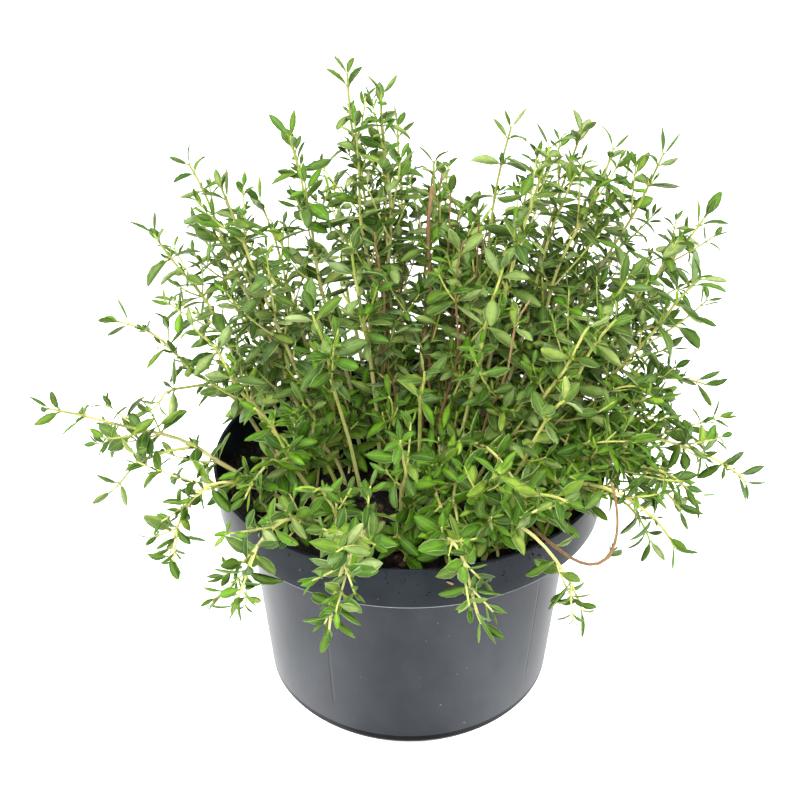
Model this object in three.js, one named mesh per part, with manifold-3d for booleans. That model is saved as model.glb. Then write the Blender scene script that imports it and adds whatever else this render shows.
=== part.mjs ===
// Potted thyme: a round nursery pot filled with soil, and leafy stems that fan out of the soil.
// Lengths are in millimetres and +Z is up. The origin is the centre of the pot's flat underside.

import * as THREE from "three";
import { mergeVertices } from "three/addons/utils/BufferGeometryUtils.js";
import Module from "manifold-3d";

const wasm = await Module();
wasm.setup();

// Pot: a tapered body with a wider collar on top of it
const potHeight = 84.9;
const rimRadius = 65; // outside of the collar at the lip
const collarFootRadius = 64; // outside of the collar at its lower edge
const collarHeight = 14.9;
const bodyTopRadius = 55.2;
const baseRadius = 49.3;
const wall = 1.1;
const floorThickness = 1.8;
const baseEdge = 1.2; // bevel where the wall meets the floor
const lipEdge = 0.35; // bevel on both edges of the lip
const collarDrop = 0.9; // how far the collar hangs below its shelf
const potSides = 48;
const drainCount = 6;
const drainRadius = 5;
const drainCircle = 33;
const drainSides = 8;

// Soil: fills the pot to a little under the rim, and falls away slightly at its edge
const soilLevel = 76;
const soilEdgeLevel = 74.4;
const soilFlatShare = 0.86; // share of the radius within which the soil is level
const soilSides = 32;
const seatGap = 0.3; // clearance between touching pieces

// Stems: square in section, sunk into the soil, and thinner towards the tip
const stemFocus = -10; // upright stems fan out from this height on the pot's axis
const rootCircle = 46; // no stem stands further out than this
const rootDepth = 9;
const rootStraight = 4.5; // straight length above the soil
const stemRootRadius = 1.1; // from the axis to a corner of the square
const stemTipRadius = 0.6;
const shootRadius = 0.75;
const shootPieces = 3;
const uprightStep = 28; // length of one straight piece of a stem
const trailingStep = 12;
const stemSides = 4;

// Leaves: narrow ovals in opposite pairs, each pair a quarter turn from the next
const leafLength = 9.4;
const leafWidth = 4.1;
const leafWidestAt = 0.32; // share of the length, the first of two places that give the outline
const leafNarrowerAt = 0.68;
const leafNarrowing = 0.86; // width at the second place against the first
const leafMiddleAt = 0.46;
const leafRise = 0.95; // the middle of the upper face
const leafArch = 0.2; // how far the leaf's widest part stands above its base
const leafDroop = 0.5; // how far its tip hangs below its base
const leafSeat = 0.25; // a leaf starts this far from its stem's axis
const pairStep = 17.5;
const firstStepShare = 0.7; // the step after the tip's pairs is shorter
const bareLength = 10; // no leaves this close to the soil
const tipPairs = [
  { back: 1.6, open: 34, size: 0.85 },
  { back: 6.4, open: 56, size: 1 },
];
const pairOpen = 64; // degrees between a leaf and the stem's direction
const turnPerStem = 137.5; // degrees, so that neighbouring stems don't face alike
const turnSpread = 16; // degrees by which a pair's turn is varied
const sizeSpread = 0.26;
const clearTurns = [0, 8, -8, 25, -25, 50, -50]; // degrees tried when a leaf would touch another stem
const clearSizes = [1, 0.8];
const shortestAllowed = 0.02; // shorter edges than this aren't left where pieces are fused
const clearMargin = new THREE.Vector3(1.06, 1.15, 1.5); // how much larger the tested leaf is

// Upright stems by the side they grow on: tip x, y and z, and how high the middle is arched
const uprightStems = {
  centre: [
    [-20, 45, 199, 2],
    [-9, 35, 196, 2],
    [-37, 20, 187, 3],
    [31, 20, 190, 3],
    [41, 2, 190, 3],
    [54, 32, 184, 3],
    [8, 44, 170, 2],
    [20, 32, 158, 2],
    [-18, -4, 162, 3],
    [27, -18, 160, 3],
    [-29, -25, 149, 3],
    [4, -34, 134, 3],
  ],
  left: [
    [-69, 20, 178, 4],
    [-57, 4, 176, 4],
    [-49, 32, 161, 3],
    [-79, 5, 161, 6],
    [-70, 30, 152, 5],
    [-97, 20, 123, 9],
    [-110, -28, 118, 5],
    [-66, -14, 138, 7],
    [-46, -38, 124, 6],
  ],
  right: [
    [62, 15, 185, 3],
    [80, 27, 179, 4],
    [92, 12, 164, 5],
    [88, -8, 152, 6],
    [88, 36, 136, 9],
    [84, 20, 122, 11],
    [97, 4, 108, 14],
    [107, -22, 87, 18],
    [86, -40, 94, 15],
    [80, -50, 82, 17],
    [66, -8, 152, 4],
    [52, -28, 146, 4],
    [44, -44, 130, 6],
  ],
  front: [
    [25, -60, 116, 6],
    [-3, -56, 124, 4],
    [44, -66, 110, 9],
    [-28, -58, 108, 7],
  ],
  back: [
    [-60, 68, 138, 5],
    [-28, 80, 150, 4],
    [14, 76, 156, 4],
    [46, 72, 152, 4],
    [76, 56, 138, 6],
    [-82, 46, 118, 8],
    [30, 102, 112, 10],
    [70, 84, 104, 12],
    [-4, 62, 176, 3],
    [-56, 96, 104, 12],
  ],
};

// Stems that trail over the rim: the soil point, two control points and the tip
const trailingStems = [
  [[-38, -20, 76], [-58, -36, 110], [-69, -44, 96], [-74, -47, 76]],
  [[-26, -33, 76], [-38, -58, 110], [-46, -68, 94], [-51, -70, 76]],
  [[-11, -38, 76], [-16, -68, 110], [-20, -84, 100], [-23, -87, 81]],
  [[7, -41, 76], [10, -66, 108], [15, -77, 94], [20, -79, 77]],
  [[18, -34, 76], [30, -60, 110], [43, -72, 96], [50, -70, 74]],
];

// Side shoots: the stem they leave, the share of its length where they leave it, tip and arch
const sideShoots = {
  left_stem_6: [0.42, [-84, -6, 104], 5],
  left_stem_7: [0.4, [-92, -38, 94], 4],
  right_stem_7: [0.45, [88, 20, 113], 5],
  right_stem_8: [0.5, [90, -6, 98], 4],
  right_stem_9: [0.55, [86, -26, 84], 5],
  back_stem_2: [0.4, [-32, 98, 110], 6],
};

// Brown woody stems: one upright and cut off at the top, one looped over the rim
const cutStem = [7, 24, 169, 2];
const loopStem = [[34, -28, 76], [54, -62, 120], [78, -66, 54], [60, -50, 106]];
const woodyPairStep = 30;

// Colours and finishes
const finishes = {
  potPlastic: { color: 0x5b6066, roughness: 0.4, metalness: 0 },
  pottingSoil: { color: 0x17130f, roughness: 1, metalness: 0 },
  greenThyme: { color: 0x64883a, roughness: 0.6, metalness: 0 },
  woodyStem: { color: 0x6d4a32, roughness: 0.85, metalness: 0 },
};

// Draws from 0 up to 1, the same each time for the same seed: a linear congruential sequence
function seededDraws(seed) {
  const modulus = 2 ** 32;
  const multiplier = 1664525;
  const increment = 1013904223;
  let state = (seed * increment) % modulus;
  return () => {
    state = (state * multiplier + increment) % modulus;
    return state / modulus;
  };
}

// Joins a geometry's shared corners and drops faces that have closed up to a line
function welded(geometry) {
  geometry.deleteAttribute("normal");
  geometry.deleteAttribute("uv");
  const merged = mergeVertices(geometry, 1e-4);
  const corners = merged.index.array;
  const kept = [];
  for (let i = 0; i < corners.length; i += 3) {
    const [a, b, c] = corners.slice(i, i + 3);
    if (a !== b && b !== c && c !== a) {
      kept.push(a, b, c);
    }
  }
  merged.setIndex(kept);
  return merged;
}

function toSolid(geometry) {
  const closed = welded(geometry);
  const mesh = new wasm.Mesh({
    numProp: 3,
    vertProperties: new Float32Array(closed.attributes.position.array),
    triVerts: new Uint32Array(closed.index.array),
  });
  return new wasm.Manifold(mesh);
}

function toGeometry(solid) {
  const mesh = solid.getMesh();
  const geometry = new THREE.BufferGeometry();
  geometry.setAttribute("position", new THREE.BufferAttribute(mesh.vertProperties, 3));
  geometry.setIndex(new THREE.BufferAttribute(mesh.triVerts, 1));
  geometry.computeVertexNormals();
  return geometry;
}

// A very short edge shows that two faces of a solid almost coincide
function shortestEdge(solid) {
  const { vertProperties, triVerts } = solid.getMesh();
  const corner = (i) => new THREE.Vector3().fromArray(vertProperties, 3 * triVerts[i]);
  let shortest = Infinity;
  for (let i = 0; i < triVerts.length; i += 3) {
    for (let k = 0; k < 3; k += 1) {
      shortest = Math.min(shortest, corner(i + k).distanceTo(corner(i + ((k + 1) % 3))));
    }
  }
  return shortest;
}

// Turns an outline of radius and height round the Z axis
function turned(outline, sides) {
  const points = outline.map(([radius, height]) => new THREE.Vector2(radius, height));
  return toSolid(new THREE.LatheGeometry(points, sides).rotateX(Math.PI / 2));
}

function makePot() {
  const collarFoot = potHeight - collarHeight;
  const shelf = collarFoot + collarDrop;
  const shell = turned(
    [
      [0, 0],
      [baseRadius - baseEdge, 0],
      [baseRadius, baseEdge],
      [bodyTopRadius, shelf],
      [collarFootRadius - wall, shelf],
      [collarFootRadius - wall, collarFoot],
      [collarFootRadius, collarFoot],
      [rimRadius, potHeight - lipEdge],
      [rimRadius - lipEdge, potHeight],
      [rimRadius - wall + lipEdge, potHeight],
      [rimRadius - wall, potHeight - lipEdge],
      [collarFootRadius - wall, shelf + wall],
      [bodyTopRadius - wall, shelf + wall],
      [baseRadius - wall, floorThickness],
      [0, floorThickness],
    ],
    potSides,
  );
  let pot = shell;
  for (let i = 0; i < drainCount; i += 1) {
    const angle = (i * 2 * Math.PI) / drainCount;
    const drain = new THREE.CylinderGeometry(drainRadius, drainRadius, 3 * floorThickness, drainSides);
    drain.rotateX(Math.PI / 2);
    drain.translate(drainCircle * Math.cos(angle), drainCircle * Math.sin(angle), floorThickness / 2);
    pot = pot.subtract(toSolid(drain));
  }
  return pot;
}

function makeSoil(stems) {
  const shelfTop = potHeight - collarHeight + collarDrop + wall;
  const collarInside = collarFootRadius - wall - seatGap;
  let soil = turned(
    [
      [0, floorThickness + seatGap],
      [baseRadius - wall - seatGap, floorThickness + seatGap],
      [bodyTopRadius - wall - seatGap, shelfTop + seatGap],
      [collarInside, shelfTop + seatGap],
      [collarInside, soilEdgeLevel],
      [collarInside * soilFlatShare, soilLevel],
      [0, soilLevel],
    ],
    soilSides,
  );
  for (const stem of stems) {
    soil = soil.subtract(rootHole(stem));
  }
  return soil;
}

const vector = ([x, y, z]) => new THREE.Vector3(x, y, z);

// A stem from start to tip: the middle of a cubic curve rises by 3/4 of its control points' lift
function archedCurve(start, tip, arch) {
  const lift = new THREE.Vector3(0, 0, (arch * 4) / 3);
  const near = start.clone().lerp(tip, 1 / 3).add(lift);
  const far = start.clone().lerp(tip, 2 / 3).add(lift);
  return new THREE.CubicBezierCurve3(start, near, far, tip);
}

// An upright stem leaves the soil on the line from the focus to its tip, within the root circle
function uprightCurve([x, y, z, arch]) {
  const share = Math.min((soilLevel - stemFocus) / (z - stemFocus), rootCircle / Math.hypot(x, y));
  return archedCurve(new THREE.Vector3(x * share, y * share, soilLevel), new THREE.Vector3(x, y, z), arch);
}

function trailingCurve(points) {
  return new THREE.CubicBezierCurve3(...points.map(vector));
}

// The direction away from a stem's axis at a turn in degrees, where the stem runs along a direction
function outwardAt(curve, along, turn) {
  const span = curve.v3.clone().sub(curve.v0);
  const level = new THREE.Vector3(-span.y, span.x, 0).normalize();
  const side = level.addScaledVector(along, -level.dot(along)).normalize();
  return side.applyAxisAngle(along, THREE.MathUtils.degToRad(turn));
}

// A square tube through rings, each with a centre, a direction and a radius, turned by degrees
function squareTube(curve, rings, turn) {
  const tube = new THREE.CylinderGeometry(1, 1, 1, stemSides, rings.length - 1);
  const corner = tube.attributes.position;
  for (let i = 0; i < corner.count; i += 1) {
    const ring = rings[Math.round((0.5 + corner.getY(i)) * (rings.length - 1))];
    const place = ring.centre.clone();
    place.addScaledVector(outwardAt(curve, ring.along, turn), ring.radius * corner.getZ(i));
    place.addScaledVector(outwardAt(curve, ring.along, turn + 90), ring.radius * corner.getX(i));
    corner.setXYZ(i, place.x, place.y, place.z);
  }
  return toSolid(tube);
}

// The straight part of a stem, from below the soil to just above it
function rootRings(curve, depth, height, radius) {
  const along = curve.getTangent(0);
  return [-depth, height].map((distance) => {
    const centre = curve.v0.clone().addScaledVector(along, distance);
    return { centre, along, radius };
  });
}

function rootHole(stem) {
  const holeRadius = stemRootRadius + seatGap * Math.SQRT2;
  const rings = rootRings(stem.curve, rootDepth + seatGap, rootStraight, holeRadius);
  return squareTube(stem.curve, rings, stem.turn);
}

// Rings spaced evenly along a curve, thinner towards its tip
function taperedRings(curve, pieces, startRadius) {
  const rings = [];
  for (let i = 0; i <= pieces; i += 1) {
    const share = i / pieces;
    rings.push({
      centre: curve.getPointAt(share),
      along: curve.getTangentAt(share),
      radius: THREE.MathUtils.lerp(startRadius, stemTipRadius, share),
    });
  }
  return rings;
}

// A whole stem has its straight root first, in place of the curve's first ring
function stemRings(curve, step) {
  const pieces = Math.max(3, Math.round(curve.getLength() / step));
  const above = taperedRings(curve, pieces, stemRootRadius).slice(1);
  return [...rootRings(curve, rootDepth, rootStraight, stemRootRadius), ...above];
}

// The straight lines between the rings' centres, which the leaves are seated on
function axisThrough(rings) {
  const axis = new THREE.CurvePath();
  for (let i = 1; i < rings.length; i += 1) {
    axis.add(new THREE.LineCurve3(rings[i - 1].centre, rings[i].centre));
  }
  return axis;
}

// A leaf along +X with its upper face towards +Z: domed above from one middle point, flat below
function leafGeometry() {
  const half = leafWidth / 2;
  const edge = [
    [0, 0, 0],
    [leafLength * leafWidestAt, half, leafArch],
    [leafLength * leafNarrowerAt, half * leafNarrowing, leafArch / 2],
    [leafLength, 0, -leafDroop],
    [leafLength * leafNarrowerAt, -half * leafNarrowing, leafArch / 2],
    [leafLength * leafWidestAt, -half, leafArch],
  ];
  const middle = edge.length;
  const corners = [...edge, [leafLength * leafMiddleAt, 0, leafRise]];
  const upper = edge.flatMap((_, i) => [(i + 1) % middle, i, middle]);
  const lower = [0, 1, 5, 1, 2, 4, 1, 4, 5, 2, 3, 4];
  const geometry = new THREE.BufferGeometry();
  geometry.setAttribute("position", new THREE.Float32BufferAttribute(corners.flat(), 3));
  geometry.setIndex([...upper, ...lower]);
  return geometry;
}

// Where the leaves of one run are, with the tip's pairs first, each on a face of the stem
function leafPlaces(run, step, draw) {
  const length = run.axis.getLength();
  const pairs = [...tipPairs];
  const last = tipPairs[tipPairs.length - 1].back;
  for (let back = last + step * firstStepShare; back < length - run.bare; back += step) {
    pairs.push({ back, open: pairOpen, size: 1 });
  }
  const places = [];
  pairs.forEach((pair, index) => {
    const turn = run.turn + 45 + 90 * index + turnSpread * (draw() - 0.5);
    for (const facing of [0, 180]) {
      places.push({
        share: 1 - pair.back / length,
        turn: turn + facing,
        open: pair.open,
        size: pair.size * (1 + sizeSpread * (draw() - 0.5)),
      });
    }
  });
  return places;
}

// The matrix that puts a leaf on its run, turned by extra degrees and scaled
function leafMatrix(run, place, extraTurn, extraSize) {
  const along = run.axis.getTangentAt(place.share);
  const outward = outwardAt(run.curve, along, place.turn + extraTurn);
  const open = THREE.MathUtils.degToRad(place.open);
  const reach = along.clone().multiplyScalar(Math.cos(open)).addScaledVector(outward, Math.sin(open));
  const upward = along.clone().addScaledVector(reach, -along.dot(reach)).normalize();
  const across = new THREE.Vector3().crossVectors(upward, reach);
  const matrix = new THREE.Matrix4().makeBasis(reach, across, upward);
  const size = place.size * extraSize;
  matrix.scale(new THREE.Vector3(size, size, Math.max(size, 1)));
  return matrix.setPosition(run.axis.getPointAt(place.share).addScaledVector(outward, leafSeat));
}

// The leaf a little larger about its own middle, to keep clear of other pieces
function marginLeaf(matrix) {
  const middle = leafLength / 2;
  const geometry = leafGeometry().translate(-middle, 0, 0);
  geometry.scale(clearMargin.x, clearMargin.y, clearMargin.z).translate(middle, 0, 0);
  return geometry.applyMatrix4(matrix);
}

function boxOf(geometry) {
  geometry.computeBoundingBox();
  return geometry.boundingBox;
}

function touchesOthers(geometry, owner, obstacles) {
  const box = boxOf(geometry);
  const near = obstacles.filter((other) => other.owner !== owner && other.box.intersectsBox(box));
  if (near.length === 0) {
    return false;
  }
  const solid = toSolid(geometry);
  return near.some((other) => !solid.intersect(other.solid).isEmpty());
}

// Fuses a leaf to its stem at the first turn and size that keep it clear of every other piece
function fuseLeaf(stem, run, place, obstacles) {
  for (const size of clearSizes) {
    for (const turn of clearTurns) {
      const matrix = leafMatrix(run, place, turn, size);
      if (touchesOthers(marginLeaf(matrix), stem.name, obstacles)) {
        continue;
      }
      const leaf = leafGeometry().applyMatrix4(matrix);
      const box = boxOf(leaf);
      const solid = toSolid(leaf);
      const joined = stem.solid.add(solid);
      if (shortestEdge(joined) > shortestAllowed) {
        obstacles.push({ owner: stem.name, box, solid });
        stem.solid = joined;
        return;
      }
    }
  }
}

// Every stem with its curves, in the order in which they are built
function stemList() {
  const stems = [];
  for (const [side, rows] of Object.entries(uprightStems)) {
    rows.forEach((row, index) => {
      stems.push({ name: `${side}_stem_${index + 1}`, curve: uprightCurve(row), step: uprightStep });
    });
  }
  trailingStems.forEach((points, index) => {
    stems.push({ name: `trailing_stem_${index + 1}`, curve: trailingCurve(points), step: trailingStep });
  });
  stems.push({ name: "woody_cut_stem", curve: uprightCurve(cutStem), step: uprightStep, woody: true });
  stems.push({ name: "woody_loop_stem", curve: trailingCurve(loopStem), step: trailingStep, woody: true });
  stems.forEach((stem, index) => {
    stem.turn = turnPerStem * index;
    const rings = stemRings(stem.curve, stem.step);
    stem.runs = [{ curve: stem.curve, rings, axis: axisThrough(rings), bare: rootDepth + bareLength }];
    const shoot = sideShoots[stem.name];
    if (shoot) {
      const [share, tip, arch] = shoot;
      stem.runs.push(shootRun(stem.runs[0].axis.getPointAt(share), vector(tip), arch));
    }
  });
  return stems;
}

// A side shoot starts on its parent's axis
function shootRun(start, tip, arch) {
  const curve = archedCurve(start, tip, arch);
  const rings = taperedRings(curve, shootPieces, shootRadius);
  return { curve, rings, axis: axisThrough(rings), bare: bareLength };
}

// A stem without its leaves, joined to its side shoot at the first turn that leaves no sliver
function addTubes(stem) {
  const [main, shoot] = stem.runs;
  const tube = squareTube(main.curve, main.rings, stem.turn);
  stem.solid = tube;
  main.turn = stem.turn;
  for (let turn = 0; shoot && turn < 90; turn += 10) {
    shoot.turn = stem.turn + turn;
    stem.solid = tube.add(squareTube(shoot.curve, shoot.rings, shoot.turn));
    if (shortestEdge(stem.solid) > shortestAllowed) {
      break;
    }
  }
}

// Fuses the leaves of one stem to it, each kept clear of the other pieces
function addLeaves(stem, index, obstacles) {
  const draw = seededDraws(index + 1);
  const step = stem.woody ? woodyPairStep : pairStep;
  for (const run of stem.runs) {
    for (const place of leafPlaces(run, step, draw)) {
      fuseLeaf(stem, run, place, obstacles);
    }
  }
}

function obstacle(owner, solid) {
  return { owner, solid, box: boxOf(toGeometry(solid)) };
}

function addPiece(group, name, solid, finish) {
  const mesh = new THREE.Mesh(toGeometry(solid), new THREE.MeshStandardMaterial(finish));
  mesh.name = name;
  group.add(mesh);
}

function makePottedThyme() {
  const stems = stemList();
  stems.forEach(addTubes);
  const pot = makePot();
  const soil = makeSoil(stems);
  const obstacles = [obstacle("pot", pot), obstacle("soil", soil)];
  for (const stem of stems) {
    obstacles.push(obstacle(stem.name, stem.solid));
  }
  stems.forEach((stem, index) => addLeaves(stem, index, obstacles));

  const group = new THREE.Group();
  addPiece(group, "pot", pot, finishes.potPlastic);
  addPiece(group, "soil", soil, finishes.pottingSoil);
  for (const stem of stems) {
    addPiece(group, stem.name, stem.solid, stem.woody ? finishes.woodyStem : finishes.greenThyme);
  }
  return group;
}

export default makePottedThyme();
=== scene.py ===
import math

import bpy
import numpy as np
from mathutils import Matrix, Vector


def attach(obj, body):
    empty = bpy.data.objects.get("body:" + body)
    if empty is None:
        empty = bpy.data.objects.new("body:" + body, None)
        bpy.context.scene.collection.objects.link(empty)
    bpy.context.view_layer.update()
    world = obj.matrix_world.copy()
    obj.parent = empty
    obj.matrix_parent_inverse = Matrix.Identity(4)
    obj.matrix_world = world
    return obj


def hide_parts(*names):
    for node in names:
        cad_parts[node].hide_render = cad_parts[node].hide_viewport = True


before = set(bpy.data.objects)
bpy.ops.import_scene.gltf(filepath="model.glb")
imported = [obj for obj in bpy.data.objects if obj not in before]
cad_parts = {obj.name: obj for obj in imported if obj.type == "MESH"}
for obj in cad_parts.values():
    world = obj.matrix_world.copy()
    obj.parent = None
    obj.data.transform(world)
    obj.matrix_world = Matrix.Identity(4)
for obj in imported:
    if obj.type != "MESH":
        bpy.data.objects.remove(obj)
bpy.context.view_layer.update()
mm = 0.001
up = np.array([0.0, 0.0, 1.0])
fullTurn = 2 * np.pi

# Studio: white surroundings, a white floor and four soft lights
studio = {
    "cameraPlace": (-0.0032, -0.3727, 0.3232),
    "cameraPitch": 30.4,  # degrees below level
    "lens": 59.6,
    "surroundings": 0.56,  # light from all around; the camera sees them as plain white
    "floorColour": (0.95, 0.95, 0.95),
    "floorGlow": (0.32, 1.05, 0.7),  # the floor's own painted glow: before the pot, beside it, far off
    "glowFrom": (0.10, 0.60),  # sine of the turn from the front where the side glow starts and is full
    "glowPast": (0.65, 1.0, 0.45),  # sines between which it falls again, and to what share
    "glowTo": (0.16, 0.34),  # metres from the middle where it goes over to the far glow
    "glowAtFoot": (0.056, 0.110, 1.8),  # metres from the middle, and how much stronger it is there, where the glow paints out the pot's shadow
    "floorRadius": 2.2,
    "lights": {  # place, what it points at, size and power
        "softKey": ((-0.12, -0.22, 1.30), (0.0, 0.0, 0.08), 0.6, 18.0),
        "softFront": ((-0.05, -0.78, 0.66), (0.0, 0.0, 0.10), 0.3, 4.6),
        "softLeft": ((-0.85, 0.10, 0.55), (0.0, 0.0, 0.08), 0.5, 8.0),
        "softRight": ((0.85, 0.15, 0.60), (0.0, 0.0, 0.08), 0.5, 8.0),
    },
}


def placed(name, data):
    thing = bpy.data.objects.new(name, data)
    bpy.context.collection.objects.link(thing)
    return thing


# A round soft light, turned so that its -Z axis points at its target
def addLight(name, place, target, size, power):
    lamp = bpy.data.lights.new(name, "AREA")
    lamp.shape = "DISK"
    lamp.size = size
    lamp.energy = power
    light = placed(name, lamp)
    light.location = place
    light.rotation_euler = (Vector(target) - Vector(place)).to_track_quat("-Z", "Y").to_euler()
    light.visible_camera = False


def setStudio():
    scene = bpy.context.scene
    scene.view_settings.view_transform = "Standard"
    lensData = bpy.data.cameras.new("studioCamera")
    lensData.lens = studio["lens"]
    lensData.sensor_width = 36
    lensData.clip_end = 20
    scene.camera = placed("studioCamera", lensData)
    scene.camera.location = studio["cameraPlace"]
    scene.camera.rotation_euler = (math.radians(90 - studio["cameraPitch"]), 0, 0)
    world = bpy.data.worlds.new("paleStudio")
    world.use_nodes = True
    tree = world.node_tree
    sky = tree.nodes["Background"]
    sky.inputs["Color"].default_value = (1, 1, 1, 1)
    path = tree.nodes.new("ShaderNodeLightPath")
    strength = tree.nodes.new("ShaderNodeMapRange")
    strength.inputs["To Min"].default_value = studio["surroundings"]
    strength.inputs["To Max"].default_value = 1.0
    tree.links.new(path.outputs["Is Camera Ray"], strength.inputs["Value"])
    tree.links.new(strength.outputs[0], sky.inputs["Strength"])
    scene.world = world
    for name, settings in studio["lights"].items():
        addLight(name, *settings)


setStudio()
print("studio is set")


# Vectors of length one: each divided by its length
def unit(vectors):
    return vectors / np.maximum(np.linalg.norm(vectors, axis=-1, keepdims=True), 1e-12)


# A value that goes from 0 at low to 1 at high along 3x^2 - 2x^3
def smoothRise(value, low, high):
    x = np.clip((value - low) / (high - low), 0, 1)
    return x * x * (3 - 2 * x)


# Equal steps of a full turn
def evenTurns(count):
    return np.arange(count) * 2 * np.pi / count


# Points round the Z axis: radius times the cosine and the sine of the turn, and the height
def around(radius, turn, height):
    return np.stack(np.broadcast_arrays(radius * np.cos(turn), radius * np.sin(turn), height), -1)


# Drawn numbers: low plus a power of an even draw times the way to high
def crowded(draw, low, high, count, power):
    return low + (high - low) * draw.uniform(0, 1, count) ** power


# Smooth relief from -1 to 1: the mean of waves that run in drawn directions, each finer one weaker
def relief(points, seed, wavelength, waves=10, octaves=3):
    draw = np.random.default_rng(seed)
    finer, weaker = 2.1, 0.55
    total = np.zeros(points.shape[:-1])
    weight = 0.0
    for octave in range(octaves):
        ways = unit(draw.normal(size=(waves, 3))) * (fullTurn / wavelength) * finer**octave
        ways = ways * draw.uniform(0.7, 1.4, (waves, 1))
        phases = draw.uniform(0, fullTurn, waves)
        total = total + np.sin(points @ ways.T + phases).mean(-1) * weaker**octave
        weight += weaker**octave
    return total / weight * 2.2


# Faces of closed lofts, each with its base pole first, then its rings, then its tip pole:
# four corners between neighbouring rings, and a fan of three corners round each pole
def loftFaces(count, rings, sides):
    size = rings * sides + 2
    start = (np.arange(count) * size)[:, None, None]
    here = np.arange(sides)
    after = (here + 1) % sides
    ring = 1 + np.arange(rings - 1)[:, None, None] * sides
    quads = np.stack([here, after, after + sides, here + sides], -1)[None] + ring
    quads = (quads.reshape(1, -1, 4) + start).reshape(-1, 4)
    last = 1 + (rings - 1) * sides
    foot = np.stack([np.zeros(sides, int), 1 + after, 1 + here], -1)
    head = np.stack([np.full(sides, size - 1), last + here, last + after], -1)
    fans = (np.concatenate([foot, head])[None] + start).reshape(-1, 3)
    return quads, fans


# The same faces' places on the bake's map: along the loft in one direction, round it in the other,
# shrunk into each loft's own square cell
def loftMap(cells, alongMap, roundMap):
    low, high = alongMap[1:-2], alongMap[2:-1]
    left, right = roundMap[:-1], roundMap[1:]
    u = np.stack([low, low, high, high], -1)[:, None, :] * np.ones((1, len(left), 1))
    v = np.stack([left, right, right, left], -1)[None] * np.ones((len(low), 1, 1))
    quads = np.stack([u, v], -1).reshape(1, -1, 2)
    middle = (left + right) / 2
    fans = []
    for pole, ring, first, second in ((0, 1, right, left), (-1, -2, left, right)):
        ends = [(alongMap[pole], middle), (alongMap[ring], first), (alongMap[ring], second)]
        fans.append(np.stack([np.stack([at + 0 * spots, spots], -1) for at, spots in ends], 1))
    fans = np.concatenate(fans).reshape(1, -1, 2)
    place, side = cells[:, None, :2], cells[:, None, 2:]
    return (place + quads * side).reshape(-1, 4, 2), (place + fans * side).reshape(-1, 3, 2)


# Square cells in rows of the unit square, the largest size first: the unit shrinks until they fit
def cellRows(classes):
    unitSide = 0.45
    while True:
        top = 0.0
        made = []
        for count, size in classes:
            side = unitSide * size
            inRow = max(int(1 / side), 1)
            spots = np.arange(count)
            corner = np.stack([spots % inRow * side, top + spots // inRow * side], -1)
            inner = np.full((count, 1), side * 0.9)
            made.append(np.concatenate([corner + side * 0.05, inner], -1))
            top += math.ceil(count / inRow) * side
        if top <= 1:
            return made
        unitSide *= 0.97


# A batch of lofts with what addPiece needs to know of it
def loftOf(points, sides, slot, mapSize, values, alongMap=None, roundMap=None):
    rings = (points.shape[1] - 2) // sides
    plain = {"growthAge": 0.0, "growthTone": 0.5, "leafAcross": 0.0, "leafAlong": 0.0, "leafUnder": 0.0}
    return {
        "points": points,
        "sides": sides,
        "slot": slot,
        "mapSize": mapSize,
        "alongMap": np.linspace(0, 1, rings + 2) if alongMap is None else alongMap,
        "roundMap": np.linspace(0, 1, sides + 1) if roundMap is None else roundMap,
        "values": {**plain, **values},
    }


# A visible piece that rides on the part's one body and shows the given nodes
def placePiece(name, mesh, nodes=()):
    piece = placed(name, mesh)
    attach(piece, "root")
    if nodes:
        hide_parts(*nodes)
    return piece


# One mesh from several batches of lofts, with their point values, map and materials
def addPiece(name, lofts, materials, nodes=()):
    lofts = [loft for loft in lofts if len(loft["points"])]
    order = sorted(range(len(lofts)), key=lambda i: -lofts[i]["mapSize"])
    cells = cellRows([(len(lofts[i]["points"]), lofts[i]["mapSize"]) for i in order])
    cellOf = dict(zip(order, cells))
    points, faces, places, slots = [], [], [], []
    values = {key: [] for key in lofts[0]["values"]}
    offset = 0
    for i, loft in enumerate(lofts):
        count, size = loft["points"].shape[:2]
        made = loftFaces(count, (size - 2) // loft["sides"], loft["sides"])
        for some, spots in zip(made, loftMap(cellOf[i], loft["alongMap"], loft["roundMap"])):
            faces += (some + offset).tolist()
            places.append(spots.ravel())
            slots.append(np.full(len(some), loft["slot"], np.int32))
        points.append(loft["points"].reshape(-1, 3))
        for key in values:
            values[key].append(np.broadcast_to(loft["values"][key], (count, size)).ravel())
        offset += count * size
    mesh = bpy.data.meshes.new(name)
    mesh.from_pydata(np.concatenate(points) * mm, [], faces)
    for material in materials:
        mesh.materials.append(material)
    mesh.polygons.foreach_set("material_index", np.concatenate(slots))
    mesh.shade_smooth()
    bakeMap = mesh.uv_layers.new(name="OFBake")
    bakeMap.data.foreach_set("uv", np.concatenate(places).astype(np.float32))
    for key, parts in values.items():
        layer = mesh.attributes.new(key, "FLOAT", "POINT")
        layer.data.foreach_set("value", np.concatenate(parts).astype(np.float32))
    mesh.update()
    return placePiece(name, mesh, nodes)


# Starts a material: returns it, its shader and the object's own coordinates
def newMaterial(name):
    material = bpy.data.materials.new(name)
    material.use_nodes = True
    tree = material.node_tree
    spot = tree.nodes.new("ShaderNodeTexCoord").outputs["Object"]
    return material, tree.nodes["Principled BSDF"], spot


# Sets a node's inputs, or links them where the value is another node's output
def put(node, inputs):
    for key, value in inputs.items():
        socket = node.inputs[key]
        if isinstance(value, bpy.types.NodeSocket):
            node.id_data.links.new(value, socket)
        elif socket.type == "RGBA":
            socket.default_value = (*value, 1)
        else:
            socket.default_value = value


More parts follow.
